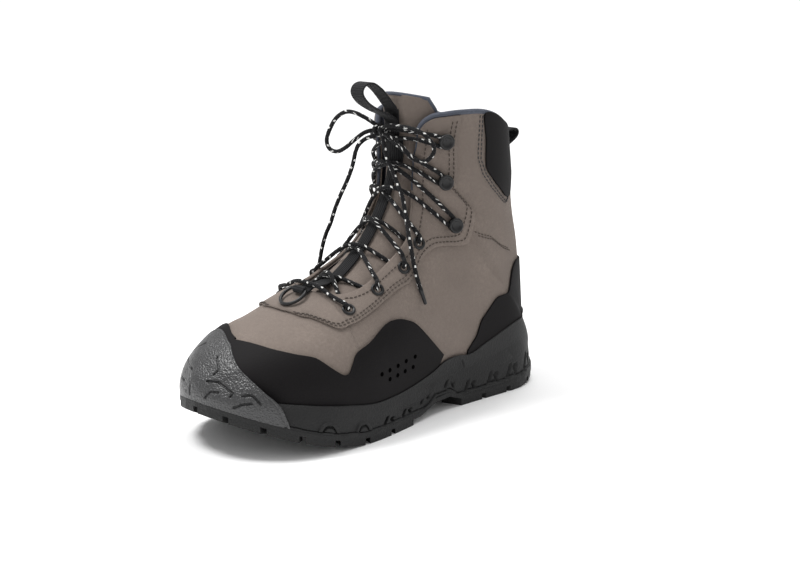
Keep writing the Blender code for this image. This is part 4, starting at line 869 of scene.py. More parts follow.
def wrap_over(points, cover, reach=0.016, clearance=0.0021, most=0.009):
    """Moves the wall's face out where the upper would stand through it."""
    run = np.gradient(points[:, 0], axis=0)
    level = unit(np.stack([run[:, 1], -run[:, 0], 0 * run[:, 0]], axis=1))
    centre = np.array([FRAME_SHIFT, 0.0, 0.0])
    level = level * np.sign(((points[:, 0] - centre) * level).sum(axis=1))[:, None]
    push = np.zeros(points.shape[:2])
    for i in range(len(points)):
        way = Vector(level[i])
        for j in range(0, OUTER_ROWS, 2):
            spot = Vector(points[i, j])
            hit = cover.ray_cast(spot + way * reach, -way, reach + 0.004)
            if hit[0] is not None:
                push[i, j] = max(0.0, (hit[0] - spot).dot(way) + clearance)
    push[:, 1:OUTER_ROWS - 1:2] = (push[:, :OUTER_ROWS - 2:2] + push[:, 2:OUTER_ROWS:2]) / 2
    window = np.hanning(31)[1:-1] / np.hanning(31).sum()
    for j in range(OUTER_ROWS):
        padded = np.pad(push[:, j], 16, mode="reflect")
        near = np.lib.stride_tricks.sliding_window_view(padded, 33)
        push[:HEEL_STATIONS, j] = near.max(axis=1)[:HEEL_STATIONS]
        push[:, j] = np.convolve(np.pad(push[:, j], 14, mode="reflect"), window, mode="valid")
    push[:, OUTER_ROWS:] = push[:, OUTER_ROWS - 1:OUTER_ROWS]
    share = np.concatenate([np.linspace(0, 1, FACE_ROWS),
                            np.ones(points.shape[1] - FACE_ROWS)])
    push = np.minimum(push, most) * ease(share / 0.45)
    push[:, -2:] = 0
    return points + level[:, None] * push[..., None]


cover = BVHTree.FromObject(upper, bpy.context.evaluated_depsgraph_get())
side_rubber = joined("side_rubber", [laid_grid("side_wall", wrap_over(side_wall(side), cover))
                                     for _, side in SIDES], 2e-5)
fill_ends(side_rubber)
dressed(side_rubber, sole_rubber, 50, ["midsole"])

# %% [markdown]
# ## The toe bumper
# The bumper is a thick moulded cap over the toe. It follows the last above and turns into the
# sole's outline at its foot. Its face is pebbled and has bent grooves that cross it.

# %% The bumper
BUMPER = Table("v lateral medial",
               (0.00, 0.122, 0.122), (0.10, 0.107, 0.137), (0.20, 0.098, 0.148),
               (0.30, 0.093, 0.152), (0.37, 0.092, 0.152), (0.55, 0.098, 0.148),
               (0.71, 0.111, 0.146), (0.866, 0.130, 0.148), (1.00, 0.138, 0.150),
               (1.20, 0.142, 0.152))


def bumper_face(side, a, b):
    v = np.minimum(b, 1.0)
    below = np.maximum(b - 1.0, 0.0)
    edge = BUMPER.at("lateral" if side == LATERAL else "medial", np.minimum(v + 0.2 * below, 1.2))
    u = edge * a
    flat_u, flat_v = u.ravel(), v.ravel()
    point = last_point(flat_u, flat_v, side).reshape(u.shape + (3,))
    normal = outward(flat_u, flat_v, side).reshape(u.shape + (3,))
    share = np.cos(np.minimum(u / U_TOE, 1) * pi / 2)
    box_s = float(LAST.at("f_s", U_TOE))
    s = box_s + (1 - box_s) * share
    foot = np.stack([outline_x(s, side) + FRAME_SHIFT, (0.5 - s) * SOLE_LENGTH, 0 * s], axis=-1)
    height = point[..., 2] * (1 - below) + (tread_top_z(s) + 0.0003) * below
    blend = np.where(a > 0, ease((v - 0.45) / 0.5), 1.0)[..., None]
    nose = (UPPER_INSET - 0.0024) * (1 - ease(u / 0.06))
    lift = 0.0024 + nose
    flush = foot.copy()
    flush[..., 2] = height
    shell = point + normal * lift[..., None]
    outer = shell * (1 - blend) + flush * blend
    return np.where((below > 0)[..., None], flush, outer)


STROKES = ((LATERAL, ((0.72, 0.02), (0.65, 0.20), (0.52, 0.22))),
           (LATERAL, ((0.35, 0.26), (0.51, 0.44), (0.60, 0.71), (0.52, 0.77))),
           (LATERAL, ((0.14, 0.88), (0.28, 0.62), (0.39, 0.67))),
           (LATERAL, ((0.69, 0.75), (0.82, 0.74), (0.82, 0.79), (0.81, 0.85))),
           (LATERAL, ((0.49, 0.97), (0.60, 0.89), (0.72, 0.85))),
           (MEDIAL, ((0.72, 0.44), (0.75, 0.24))),
           (MEDIAL, ((0.65, 0.53), (0.33, 0.32), (0.10, 0.42), (0.07, 0.92))),
           (MEDIAL, ((0.14, 0.88), (0.28, 0.66), (0.39, 0.70))),
           (MEDIAL, ((0.69, 0.75), (0.82, 0.74), (0.82, 0.79), (0.81, 0.85))),
           (MEDIAL, ((0.49, 0.97), (0.60, 0.89), (0.72, 0.85))))
GROOVE_DEPTH = 0.0016
GROOVE_WIDTH = 0.0008


def to_line(points, start, end):
    """Distances from points to a straight stroke."""
    way = end - start
    share = np.clip(((points - start) @ way) / (way @ way), 0, 1)
    return np.linalg.norm(points - start - share[..., None] * way, axis=-1)


# %% The cap with its strokes pressed in
CAP_ROWS = 150
CAP_COLUMNS = 200
cap_a, cap_b = np.meshgrid(np.linspace(0, 1, CAP_ROWS), np.linspace(0, 2, CAP_COLUMNS),
                           indexing="ij")
places = {side: bumper_face(side, cap_a, cap_b) for _, side in SIDES}
strokes = []
for side, spots in STROKES:
    corners = [places[side][round(a * (CAP_ROWS - 1)), round(b / 2 * (CAP_COLUMNS - 1))]
               for a, b in spots]
    strokes += list(zip(corners, corners[1:]))
caps = []
for _, side in SIDES:
    points = places[side]
    along = np.gradient(points, axis=0)
    across = np.gradient(points, axis=1)
    normal = unit(np.cross(across, along) * side)
    depth = 0.0004 * press(cap_a - 0.962, 0.010)
    for start, end in strokes:
        depth = np.maximum(depth, GROOVE_DEPTH * press(to_line(points, start, end), GROOVE_WIDTH))
    depth = depth * (cap_a > 0.02)
    pressed = points - normal * depth[..., None]
    rim = [pressed[-1] - normal[-1] * sink + unit(along[-1]) * 0.0002
           for sink in (0.0005, 0.0012, 0.0022)]
    cap = laid_grid("bumper_half", np.concatenate([pressed, np.array(rim)]))
    face_out(cap, np.concatenate([normal, normal[-3:]]).reshape(-1, 3))
    caps.append(cap)
bumper = joined("bumper_cap", caps, 2e-5)
dressed(bumper, bumper_rubber, 50, ["toe_bumper"])

# %% [markdown]
# ## The tongue
# The tongue is a padded strip under the facing. A band is laid over the ridge, a little lower
# than the cloth, and Solidify pads it. Ribbed webbing runs up its middle and a wider ribbed
# keeper holds the lace in place.

# %% The tongue
TONGUE = Table("u half",
               (0.262, 0.090), (0.285, 0.180), (0.320, 0.240), (0.400, 0.285), (0.530, 0.300),
               (0.640, 0.265), (0.750, 0.240), (0.900, 0.245), (1.000, 0.255), (1.070, 0.225))


def width_v(u, side, half):
    """v at which the last is half wide, for arrays of u and half."""
    tries = np.linspace(0, 0.6, 301)
    grid_u, grid_v = np.meshgrid(u, tries, indexing="ij")
    x = last_point(grid_u.ravel(), grid_v.ravel(), side, rim=False)[:, 0].reshape(grid_u.shape)
    gap = np.asarray(half)[:, None] - abs(x - FRAME_SHIFT)
    first = np.maximum(np.argmax(gap <= 0, axis=1), 1)
    rows = np.arange(len(u))
    high, low = gap[rows, first], gap[rows, first - 1]
    return tries[first - 1] + low / np.maximum(low - high, 1e-9) * (tries[1] - tries[0])


def band(name, levels, half_at, columns, lift, material, thickness, offset, node, edge_width):
    halves = []
    for _, side in SIDES:
        edge = width_v(levels, side, half_at(levels))[:, None]
        v = edge * np.linspace(0, 1, columns)[None, :]
        u = levels[:, None] + 0 * v
        height = lift(u, v / edge) if callable(lift) else lift + 0 * u
        half = laid_grid(name, skin(u, v, side, height, rim=False))
        face_out(half, outward(u.ravel(), v.ravel(), side, False))
        halves.append(half)
    whole = joined(name, halves)
    apply(whole, "SOLIDIFY", thickness=thickness, offset=offset)
    rounded(whole, edge_width, 3, 50)
    return dressed(whole, material, 50, [node])


def tongue_lift(u, share):
    """Sewn to the vamp at its foot, then lower, with padded channels beside the webbing."""
    sunk = ease((u - 0.285) / 0.055)
    channel = np.sin(pi * np.clip((share - 0.26) / 0.62, 0, 1)) ** 0.7
    pad = 0.0011 * channel * ease((u - 0.36) / 0.04)
    seam = 0.0012 * np.exp(-((u - 0.905) / 0.006) ** 2) * (share > 0.26)
    return -(UPPER_WALL + 0.0003 + 0.0033 * sunk) + pad - seam - 0.0004


# The tongue's sides, where it folds into the throat, are dark.
GUSSET_START = 0.0155
GUSSET_HALF = 0.026
GUSSET_FOOT = 0.09
GUSSET_TOP = 0.196
tongue = band("tongue_pad", np.linspace(0.262, 1.070, 170), lambda u: TONGUE.at("half", u) * BALL_WIDTH, 30,
              tongue_lift, taupe_cloth, 0.0056, -1, "tongue", 0.0016)
tongue.data.materials.append(dark_gusset)
for polygon in tongue.data.polygons:
    x, _, z = polygon.center
    hidden = abs(x) > GUSSET_HALF or x < -GUSSET_START and z > GUSSET_FOOT
    if z < GUSSET_TOP and hidden:
        polygon.material_index = 1
band("tongue_tape", np.linspace(0.365, 1.0, 120), lambda u: 0.0065 + 0 * u, 8, -0.0056,
     black_webbing, 0.0014, 1, "tongue_webbing", 0.0003)
band("keeper_tape", np.linspace(0.762, 0.878, 34), lambda u: 0.0105 + 0 * u, 10,
     lambda u, share: -0.0040 - 0.0014 * ease((share - 0.62) / 0.38), black_webbing, 0.0013, 1,
     "lace_keeper", 0.0003)

# %% [markdown]
# ## Binding and seams
# The collar's and the facing's cut edges are bound with blue-grey tape. The tape is a thin
# rounded bead along the edge. Stitches are short beads in rows beside the seams.

# %% Beads and stitches
def smooth_path(points, steps):
    """A smooth curve through points, with steps pieces between each two."""
    points = [np.asarray(p, float) for p in points]
    padded = [points[0] * 2 - points[1], *points, points[-1] * 2 - points[-2]]
    curve = []
    for a, b, c, d in zip(padded, padded[1:], padded[2:], padded[3:]):
        for k in range(steps):
            t = k / steps
            curve.append(0.5 * (2 * b + (c - a) * t + (2 * a - 5 * b + 4 * c - d) * t * t
                                + (3 * b - a - 3 * c + d) * t**3))
    return np.array([*curve, points[-1]])


def tube_points(path, radius, sides):
    """Rings of points round a path."""
    path = np.asarray(path, float)
    along = unit(np.gradient(path, axis=0))
    across = np.empty_like(along)
    start = np.cross(along[0], [0, 0, 1.0])
    if np.linalg.norm(start) < 0.1:
        start = np.cross(along[0], [1.0, 0, 0])
    across[0] = unit(start)
    for k in range(1, len(path)):
        across[k] = unit(across[k - 1] - along[k] * (across[k - 1] @ along[k]))
    other = np.cross(along, across)
    radius = np.broadcast_to(np.asarray(radius, float), (len(path),))[:, None, None]
    turns = np.linspace(0, 2 * pi, sides + 1)
    return path[:, None, :] + radius * (across[:, None, :] * np.cos(turns)[None, :, None]
                                        + other[:, None, :] * np.sin(turns)[None, :, None])


def tube(name, path, radius, sides, caps=True):
    """A round rod: a grid rolled up along a path and closed at its ends."""
    rings = tube_points(path, radius, sides)
    rod = laid_grid(name, rings)
    face_out(rod, (rings - np.asarray(path)[:, None, :]).reshape(-1, 3))
    rod = joined(name, [rod], 1e-6)
    if caps:
        fill_ends(rod)
    return rod


collar_halves = []
bound_edges = []
folded_edges = []
for _, side in SIDES:
    v = np.linspace(float(throat_v(1.0, side)[0]), 1.0, 90)
    collar_halves.append(skin(np.full(v.shape, 0.998), v, side, -UPPER_WALL / 2))
    u = np.linspace(0.700, 0.995, 70)
    bound_edges.append(skin(u, throat_v(u, side), side, -0.0002))
    u = np.linspace(0.312, 0.700, 90)
    folded_edges.append(skin(u, throat_v(u, side), side, -0.0001))
collar = np.concatenate([collar_halves[0], collar_halves[1][::-1][1:]])
collar_bead = tube("collar_binding", collar, 0.0021, 14)
facing_beads = [tube("facing_binding", path, 0.0013, 10) for path in bound_edges]
binding = joined("edge_binding", [collar_bead, *facing_beads], 1e-6)
dressed(binding, binding_tape, 60)
folds = joined("folded_edge", [tube("fold", path, 0.0014, 10) for path in folded_edges], 1e-6)
dressed(folds, taupe_cloth, 60)

tongue_rim = []
for _, side in SIDES:
    u = np.linspace(0.72, 1.066, 60)
    edge = width_v(u, side, TONGUE.at("half", u) * BALL_WIDTH)
    sidewise = skin(u, edge, side, -0.0078, rim=False)
    top_v = np.linspace(float(edge[-1]), 0.0, 24)
    topwise = skin(np.full(24, 1.069), top_v, side, -0.0078, rim=False)
    line = np.concatenate([sidewise, topwise])
    tongue_rim.append(line if side == LATERAL else line[::-1][1:])
tongue_edge = tube("tongue_binding", np.concatenate(tongue_rim), 0.0016, 12)
dressed(tongue_edge, binding_tape, 60)


def seam_line(points_uv, side, lift):
    u, v = np.array(points_uv, float).T
    run = np.linspace(0, 1, len(u))
    fine = np.linspace(0, 1, 400)
    return skin(np.interp(fine, run, u), np.interp(fine, run, v), side, lift)


STITCH_LENGTH = 0.0023
STITCH_STEP = 0.0034
STITCH_RADIUS = 0.00044


def stitches(name, lines, material):
    """Short five-sided beads along lines, all in one mesh."""
    verts, faces = [], []
    turns = [2 * pi * k / 5 for k in range(5)]
    for line in lines:
        steps = np.linalg.norm(np.diff(line, axis=0), axis=1)
        run = np.concatenate([[0], np.cumsum(steps)])
        for k in range(int(run[-1] // STITCH_STEP)):
            a, b = [np.array([np.interp(k * STITCH_STEP + d, run, line[:, i]) for i in range(3)])
                    for d in (0, STITCH_LENGTH)]
            along = unit(b - a)
            across = unit(np.cross(along, [0.3, 0.2, 1.0]))
            other = np.cross(along, across)
            base = len(verts)
            for share, size in ((0.0, 0.45), (0.2, 1.0), (0.8, 1.0), (1.0, 0.45)):
                for turn in turns:
                    verts.append(a + (b - a) * share
                                 + STITCH_RADIUS * size * (across * cos(turn) + other * sin(turn)))
            for r in range(3):
                for j in range(5):
                    m = (j + 1) % 5
                    low, high = base + 5 * r, base + 5 * (r + 1)
                    faces.append((low + j, low + m, high + m, high + j))
            faces.append([base + j for j in range(4, -1, -1)])
            faces.append([base + 15 + j for j in range(5)])
    mesh = bpy.data.meshes.new(name)
    mesh.from_pydata([tuple(p) for p in verts], [], faces)
    mesh.uv_layers.new(name="UVMap")
    thing = bpy.data.objects.new(name, mesh)
    bpy.context.scene.collection.objects.link(thing)
    edit_whole(thing, bpy.ops.mesh.normals_make_consistent, inside=False)
    return dressed(thing, material, 70)


facing_lines = []
for _, side in SIDES:
    for inset in (0.016, 0.036):
        u = np.linspace(0.232, 0.985, 200)
        v = np.maximum(EYESTAY.at("edge", u) - inset, 0.0)
        facing_lines.append(skin(u, v, side, OVERLAY_TOP + 0.0004))
    u = np.linspace(0.335, 0.985, 160)
    facing_lines.append(skin(u, throat_v(u, side) + 0.045, side, OVERLAY_TOP + 0.0004))
    for shift in (0.0, 0.016):
        facing_lines.append(seam_line([(0.742, 0.427 + shift), (0.766, 0.502 + shift),
                                       (0.776, 0.580 + shift), (0.788, 0.644 + shift)], side, 0.0002))
stitches("facing_stitches", facing_lines, thread_finish)

film_lines = []
for _, side in SIDES:
    for away in (0.0, 1.0):
        edge = [(0.988, 0.502), (0.938, 0.487), (0.902, 0.477), (0.880, 0.500), (0.867, 0.545),
                (0.862, 0.590), (0.861, 0.630), (0.870, 0.670), (0.884, 0.705)]
        film_lines.append(seam_line([(u - 0.006 * away * (u < 0.9), v - 0.016 * away * (u > 0.86))
                                     for u, v in edge], side, 0.0003))
stitches("film_stitches", film_lines, dark_thread)

# %% [markdown]
# ## Eyelets, hooks, ring and loops
# The lace runs through four eyelets and round three hooks a side. An eyelet is a torus that is
# flattened onto the facing. A hook is a dished disc on a short neck. The ring is a bent rod and
# the loops are folded webbing.

# %% Places of the fittings
EYELETS = ((0.323, 0.345), (0.423, 0.380), (0.518, 0.390), (0.590, 0.325))
HOOKS = ((0.704, 0.339), (0.795, 0.289), (0.919, 0.301))


STEP = np.array([-0.005, 0.005])


def across_rate(u, v, side):
    """Metres that one unit of v is long at a place."""
    return float(np.linalg.norm(np.diff(last_point(u, v + STEP, side), axis=0))) / 0.01


def along_rate(u, v, side):
    """Metres that one unit of u is long at a place."""
    return float(np.linalg.norm(np.diff(last_point(u + STEP, v, side), axis=0))) / 0.01


def fitting_v(u, v, side):
    """v of a fitting as far from the throat's edge as the lateral one at v."""
    reach = (v - float(throat_v(u, LATERAL)[0])) * across_rate(u, v, LATERAL)
    return float(throat_v(u, side)[0]) + reach / across_rate(u, v, side)


def fitting_frame(u, v, side, lift):
    """A matrix whose X points to the ridge, Y towards the collar and Z outwards."""
    v = fitting_v(u, v, side)
    point = Vector(last_point(u, v, side)[0])
    normal = Vector(outward(np.array([u]), np.array([v]), side)[0])
    inward = Vector(last_point(u, v - 0.02, side)[0]) - point
    inward = (inward - normal * inward.dot(normal)).normalized()
    up = normal.cross(inward)
    if up.z < 0:
        up = -up
    turn = Matrix((inward, up, normal)).transposed().to_4x4()
    return Matrix.Translation(point + normal * lift) @ turn


def put(thing, matrix):
    """Moves a new piece's mesh to its place and leaves the object at the origin."""
    thing.matrix_world = Matrix.Identity(4)
    thing.data.transform(matrix)
    if matrix.to_3x3().determinant() < 0:
        thing.data.flip_normals()
    thing.data.update()


# %% The eyelets and the hooks
def eyelet(name, matrix):
    clear_selection()
    bpy.ops.mesh.primitive_torus_add(major_segments=36, minor_segments=12,
                                     major_radius=0.0038, minor_radius=0.0012)
    ring = bpy.context.active_object
    ring.name = name
    edit_whole(ring, bpy.ops.transform.resize, value=(1, 1, 0.75), center_override=(0, 0, 0))
    put(ring, matrix)
    return ring


def lathe(name, profile, steps=32):
    """A turned part: its profile's points are spun round Z."""
    clear_selection()
    bpy.ops.mesh.primitive_circle_add(vertices=3, radius=0.001)
    turned = bpy.context.active_object
    turned.name = name
    bm = bmesh.new()
    line = [bm.verts.new((r, 0, z)) for r, z in profile]
    edges = [bm.edges.new(pair) for pair in zip(line, line[1:])]
    bmesh.ops.spin(bm, geom=[*line, *edges], cent=(0, 0, 0), axis=(0, 0, 1),
                   angle=2 * pi, steps=steps, use_duplicate=False)
    bmesh.ops.remove_doubles(bm, verts=bm.verts[:], dist=1e-6)
    bmesh.ops.recalc_face_normals(bm, faces=bm.faces[:])
    bm.to_mesh(turned.data)
    bm.free()
    return turned


HOOK_PROFILE = ((0.0, 0.0041), (0.0024, 0.0041), (0.0031, 0.0043), (0.0038, 0.0052),
                (0.0046, 0.0056), (0.0053, 0.0055), (0.0059, 0.0046), (0.0057, 0.0036),
                (0.0048, 0.0034), (0.0030, 0.0033), (0.0022, 0.0026), (0.0021, 0.0012),
                (0.0040, 0.0007), (0.0050, 0.0004), (0.0050, -0.0004), (0.0, -0.0004))

for name, side in SIDES:
    for k, (u, v) in enumerate(EYELETS, 1):
        ring = eyelet("grommet_%s_%d" % (name, k), fitting_frame(u, v, side, OVERLAY_TOP + 0.0004))
        dressed(ring, black_metal, 60, ["eyelet_%s_%d" % (name, k)])
    for k, (u, v) in enumerate(HOOKS, 1):
        disc = lathe("speed_hook_%s_%d" % (name, k), HOOK_PROFILE)
        put(disc, fitting_frame(u, v, side, OVERLAY_TOP + 0.0006))
        dressed(disc, black_metal, 50, ["hook_%s_%d" % (name, k)])


# %% The ring, its tab and the pull loops
def ridge_place(u, rise):
    point = last_point(u, 0.0, LATERAL, rim=False)[0]
    normal = outward(np.array([u]), np.array([0.0]), LATERAL, False)[0]
    return point + normal * rise


def strap(name, path, width, thickness, node, steps=8):
    """Webbing along a path in the boot's middle plane, with a UV map along its length."""
    line = smooth_path(path, steps)
    line[:, 0] = FRAME_SHIFT
    edges = np.linspace(-width / 2, width / 2, 12)
    points = np.repeat(line[:, None, :], len(edges), axis=1)
    points[..., 0] += edges[None, :]
    tape = laid_grid(name, np.swapaxes(points, 0, 1))
    apply(tape, "SOLIDIFY", thickness=thickness, offset=0)
    edit_whole(tape, bpy.ops.mesh.normals_make_consistent, inside=False)
    rounded(tape, 0.0003, 2, 50)
    return dressed(tape, black_webbing, 50, [node])


centre = last_point(0.268, 0.0, LATERAL)[0]
ring_normal = outward(np.array([0.268]), np.array([0.0]), LATERAL)[0]
forward = unit(np.cross([1.0, 0, 0], ring_normal))
forward = forward if forward[1] > 0 else -forward
RING_RADIUS = 0.0098
ROD_AT = 0.0062
ring_path = []
for k in range(61):
    turn = 2 * pi * k / 60
    back = min(RING_RADIUS * sin(turn), ROD_AT)
    share = (back + RING_RADIUS) / (RING_RADIUS + ROD_AT)
    ring_path.append(centre + np.array([1.0, 0, 0]) * RING_RADIUS * cos(turn) + forward * back
                     + ring_normal * (0.0033 + 0.0019 * share))
throat_ring = tube("throat_ring", np.array(ring_path), 0.0013, 12, caps=False)
throat_ring = joined("throat_ring", [throat_ring], 1e-4)
dressed(throat_ring, black_metal, 60, ["lace_ring"])

TAB_RISES = Table("u rise",
                  (0.262, 0.0034), (0.300, 0.0031), (0.312, 0.0029), (0.325, 0.0010),
                  (0.345, -0.0018), (0.385, -0.0032))
rod = centre + forward * ROD_AT + ring_normal * 0.0052
tab_path = [ridge_place(u, float(TAB_RISES.at("rise", u))) for u in np.linspace(0.385, 0.300, 8)]
tab_path += [rod - ring_normal * 0.0022 * cos(a) - forward * 0.0022 * sin(a)
             for a in np.linspace(0, 1.35 * pi, 8)]
strap("ring_tab_tape", tab_path, 0.0117, 0.0014, "ring_tab", 4)

TONGUE_LOOP = ((0.0205, 0.2085), (0.0204, 0.2130), (0.0192, 0.2172), (0.0120, 0.2212),
               (0.0030, 0.2248), (-0.0080, 0.2310), (-0.0135, 0.2380), (-0.0110, 0.2435),
               (-0.0035, 0.2448), (0.0045, 0.2405), (0.0110, 0.2345), (0.0160, 0.2290),
               (0.0192, 0.2255), (0.0199, 0.2215))
strap("tongue_loop_tape", [(0, y, z) for y, z in TONGUE_LOOP], 0.013, 0.0015, "tongue_pull_loop")

HEEL_LOOP = Table("row u out",
                  (0, 0.957, 0.0000), (1, 0.964, 0.0000), (2, 0.970, 0.0045), (3, 0.974, 0.0105),
                  (4, 0.979, 0.0155), (5, 0.986, 0.0172), (6, 0.992, 0.0150), (7, 0.994, 0.0100),
                  (8, 0.992, 0.0045), (9, 0.985, 0.0004), (10, 0.979, 0.0000))
heel_path = []
for u, out in zip(HEEL_LOOP.columns["u"], HEEL_LOOP.columns["out"]):
    low, high = last_point(np.array([u - 0.004, u + 0.004]), 1.0, LATERAL)
    up = unit(high - low)
    heel_path.append(last_point(u, 1.0, LATERAL)[0] + np.array([0, up[2], -up[1]]) * (0.0026 + out))
strap("heel_loop_tape", heel_path, 0.020, 0.0014, "heel_pull_loop")

# %% [markdown]
# ## The lace
# One round braided lace does the whole boot. The bottom bar goes down into the first eyelets.
# From there each half comes up out of an eyelet, crosses the tongue, dives under the other
# facing and comes up through the next eyelet. At the hooks it turns round the neck under the
# disc. The two halves meet in a bow at the top.

# %% The lace's run
ROWS = [*EYELETS, *HOOKS]
LACE_SEAT = OVERLAY_TOP + 0.0003 + LACE_DIAMETER / 2
HOOK_REACH = 0.0052


def lace_spot(u, v, side, lift):
    return skin(np.array([u]), np.array([v]), side, lift, rim=False)[0]


def run_half(start_side):
    """One half of the lace, from under the first eyelet to the top hook."""
    spots = []
    side = start_side
    for k, (u, v) in enumerate(ROWS):
        v = fitting_v(u, v, side)
        edge = float(throat_v(u, side)[0])
        rate_v, rate_u = across_rate(u, v, side), along_rate(u, v, side)
        last = k == len(ROWS) - 1
        if k < len(EYELETS):
            if k == 0:
                spots += [lace_spot(u, v, side, -0.0046),
                          lace_spot(u + 0.02, edge - 0.01, side, -0.0042)]
            else:
                spots += [lace_spot(u - 0.014, edge + 0.01, side, -0.0040),
                          lace_spot(u - 0.004, v + 0.004, side, -0.0044),
                          lace_spot(u, v, side, 0.0004),
                          lace_spot(u + 0.003, v - 0.0028 / rate_v, side, LACE_SEAT + 0.0016),
                          lace_spot(u + 0.010, edge + 0.03, side, LACE_SEAT + 0.0002),
                          lace_spot(u + 0.014, edge - 0.02, side, LACE_SEAT - 0.0006)]
        else:
            near = HOOK_REACH / rate_v
            drop = 0.0040 / rate_u
            spots += [lace_spot(u - drop * 1.5, edge - 0.01, side, LACE_SEAT + 0.0006),
                      lace_spot(u - drop, v - near * 0.75, side, LACE_SEAT + 0.0004),
                      lace_spot(u - drop * 0.2, v + 0.0004 / rate_v, side, LACE_SEAT + 0.0002),
                      lace_spot(u + drop, v - near * 0.75, side, LACE_SEAT + 0.0004)]
            if not last:
                spots.append(lace_spot(u + drop * 1.6, edge - 0.01, side, LACE_SEAT + 0.0006))
        if not last:
            rise = 0.0019 if start_side == LATERAL else -0.0012
            spots.append(ridge_place((u + ROWS[k + 1][0]) / 2, rise))
        side = -side
    return spots


KNOT_CENTRE = np.array([0.0010, 0.0104, 0.2095])
halves = []
bar = []
for _, side in SIDES:
    spots = run_half(side)
    spots.append(np.array([0.0010 + 0.0100 * side, 0.0145, 0.2108]))
    spots.append(KNOT_CENTRE + np.array([0.003 * side, 0.0005, 0.0005]))
    halves.append(tube("lace_half", smooth_path(spots, 9), LACE_DIAMETER / 2, 14))
    u, v = EYELETS[0]
    v = fitting_v(u, v, side)
    edge = float(throat_v(u, side)[0])
    rate = across_rate(u, v, side)
    bar.append([lace_spot(u, v, side, -0.0030), lace_spot(u, v, side, 0.0006),
                lace_spot(u - 0.004, v - 0.0028 / rate, side, LACE_SEAT + 0.0016),
                lace_spot(u - 0.012, edge + 0.02, side, LACE_SEAT + 0.0003),
                lace_spot(u - 0.014, edge * 0.5, side, LACE_SEAT + 0.0026)])
bar_path = [*bar[0], ridge_place(0.309, 0.0064), *bar[1][::-1]]
halves.append(tube("lace_bar", smooth_path(bar_path, 9), LACE_DIAMETER / 2, 14))
lace_run = joined("lace_run", halves, 1e-7)
dressed(lace_run, lace_braid, 60,
        ["lace_bottom_bar", "lace_top_bar", *["lace_crossing_%d" % k for k in range(1, 7)]])

# %% The knot, the bow and the ends
BOW_MEDIAL = ((-0.0034, 0.0088, 0.2131), (-0.0068, 0.0050, 0.2168), (-0.0145, -0.0005, 0.2215),
              (-0.0230, -0.0030, 0.2220), (-0.0310, -0.0050, 0.2175), (-0.0365, -0.0066, 0.2095),
              (-0.0405, -0.0070, 0.2000), (-0.0385, -0.0060, 0.1935), (-0.0320, -0.0040, 0.1918),
              (-0.0245, -0.0022, 0.1955), (-0.0175, 0.0003, 0.2015), (-0.0110, 0.0040, 0.2070),
              (-0.0050, 0.0082, 0.2095))
BOW_LATERAL = ((0.0061, 0.0083, 0.2123), (0.0120, 0.0075, 0.2138), (0.0210, 0.0120, 0.2135),
               (0.0325, 0.0170, 0.2111), (0.0380, 0.0216, 0.2060), (0.0400, 0.0260, 0.1985),
               (0.0380, 0.0248, 0.1920), (0.0340, 0.0206, 0.1885), (0.0280, 0.0150, 0.1914),
               (0.0220, 0.0110, 0.1990), (0.0145, 0.0072, 0.2050), (0.0069, 0.0073, 0.2077))
END_LATERAL = ((0.0038, 0.0090, 0.2048), (0.0056, 0.0086, 0.1990), (0.0080, 0.0088, 0.1905),
               (0.0120, 0.0098, 0.1823), (0.0170, 0.0101, 0.1735), (0.0230, 0.0100, 0.1637),
               (0.0265, 0.0091, 0.1549), (0.0300, 0.0082, 0.1460), (0.0357, 0.0044, 0.1366),
               (0.0388, 0.0043, 0.1263), (0.0419, 0.0038, 0.1160), (0.0450, 0.0050, 0.1040),
               (0.0466, 0.0068, 0.0965))
END_MEDIAL = ((-0.0026, 0.0080, 0.2053), (-0.0070, 0.0030, 0.2035), (-0.0105, -0.0010, 0.1995),
              (-0.0130, -0.0026, 0.1940), (-0.0175, -0.0022, 0.1820), (-0.0240, -0.0019, 0.1701),
              (-0.0300, -0.0027, 0.1595), (-0.0355, -0.0038, 0.1480), (-0.0390, -0.0054, 0.1367),
              (-0.0415, -0.0080, 0.1283), (-0.0432, -0.0106, 0.1176), (-0.0440, -0.0125, 0.1070),
              (-0.0455, -0.0140, 0.0965), (-0.0472, -0.0152, 0.0860))
TIP_PROFILE = ((0, 0.0015), (0.0006, 0.0018), (0.0012, 0.00172), (0.003, 0.00145),
               (0.008, 0.0014), (0.0112, 0.00132), (0.0118, 0.0008))


def free_lace(name, places, node, tip=None, tip_node=None):
    """A free part of the lace as a cord, with its plastic tip if it has one."""
    path = smooth_path(places, 6)
    cord = tube(name, path, LACE_DIAMETER / 2, 14)
    dressed(cord, lace_braid, 60, [node])
    if tip:
        way = unit(path[-1] - path[-2])
        tip_run, tip_radius = np.array(TIP_PROFILE).T
        tip_path = path[-1] + way * (tip_run - 0.0012)[:, None]
        tip_piece = tube(tip, tip_path, tip_radius, 16)
        dressed(tip_piece, black_plastic, 50, [tip_node])
    return cord


free_lace("bow_medial", BOW_MEDIAL, "bow_loop_medial")
free_lace("bow_lateral", BOW_LATERAL, "bow_loop_lateral")
free_lace("end_lateral", END_LATERAL, "lace_end_lateral", "tip_lateral", "aglet_lateral")
free_lace("end_medial", END_MEDIAL, "lace_end_medial", "tip_medial", "aglet_medial")

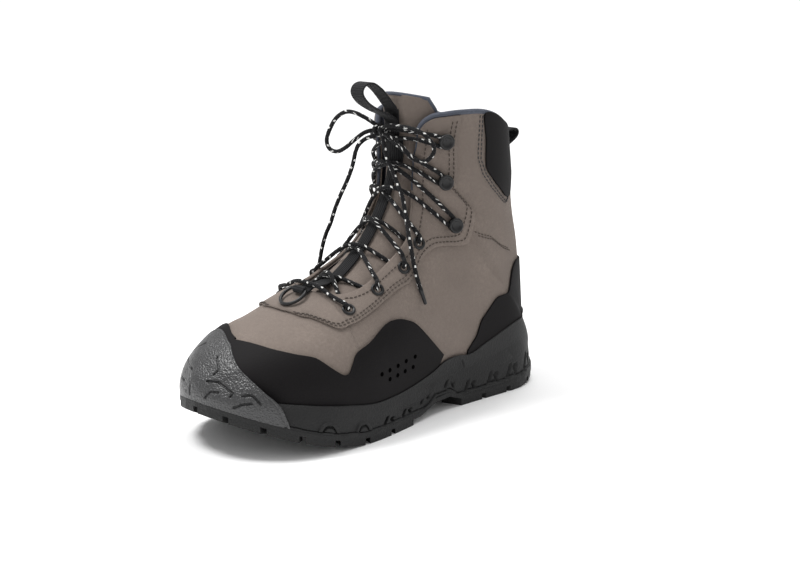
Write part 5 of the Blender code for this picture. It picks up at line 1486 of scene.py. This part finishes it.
turns = np.linspace(0, 2 * pi, 37)
wraps = []
for shift, lean, reach in ((-0.0026, 0.35, 0.0052), (0.0006, -0.25, 0.0056),
                           (0.0034, 0.20, 0.0050)):
    loop = np.stack([shift + lean * 0.004 * np.cos(turns), 0.0032 * np.cos(turns),
                     (reach - 0.0016) * 0.82 * np.sin(turns)], axis=1) + KNOT_CENTRE
    wraps.append(tube("wrap", loop, LACE_DIAMETER / 2, 14, caps=False))
knot = joined("bow_knot", wraps, 1e-5)
dressed(knot, lace_braid, 60, ["lace_knot"])

# %% [markdown]
# ## The perforations
# Two rows of small holes are punched in the rand. Each is a dark disc with a raised rim, set
# just above the film, so it reads as a hole from any side.

# %% Two rows of holes
HOLE_PROFILE = ((0.0, 0.0), (0.0011, 0.0), (0.0014, 0.0002), (0.0016, 0.0), (0.0016, -0.0004),
                (0.0, -0.0004))
HOLE_ROWS = (((0.361, 0.808), (0.473, 0.816), 5), ((0.389, 0.858), (0.466, 0.862), 4))
hole_finish = grained("hole_shadow", (0.0012, 0.0012, 0.0012), 0.9, 900, 0.00005, 0.0)
discs = []
for _, side in SIDES:
    for (u1, v1), (u2, v2), count in HOLE_ROWS:
        for k in range(count):
            share = k / (count - 1)
            u, v = u1 + (u2 - u1) * share, v1 + (v2 - v1) * share
            point = Vector(skin(np.array([u]), np.array([v]), side, OVERLAY_TOP + 0.00025)[0])
            normal = Vector(outward(np.array([u]), np.array([v]), side)[0])
            disc = lathe("hole", HOLE_PROFILE, 16)
            put(disc, Matrix.Translation(point) @ normal.to_track_quat("Z", "Y").to_matrix().to_4x4())
            discs.append(disc)
holes = joined("rand_holes", discs, 1e-7)
dressed(holes, hole_finish, 50)

# %% [markdown]
# ## The floor
# A plain pale floor catches the soft shadow under the boot.

# %% A wide sheet of paper
clear_selection()
bpy.ops.mesh.primitive_plane_add(size=80, location=(0, 0, 0))
floor = bpy.context.active_object
floor.name = "studio_floor"
paper = Finish("pale_paper", (0.94, 0.94, 0.94), 0.9, 0.1)
paper.bump(paper.noise(60, 2), 0.00005)
floor.data.materials.append(paper.material)
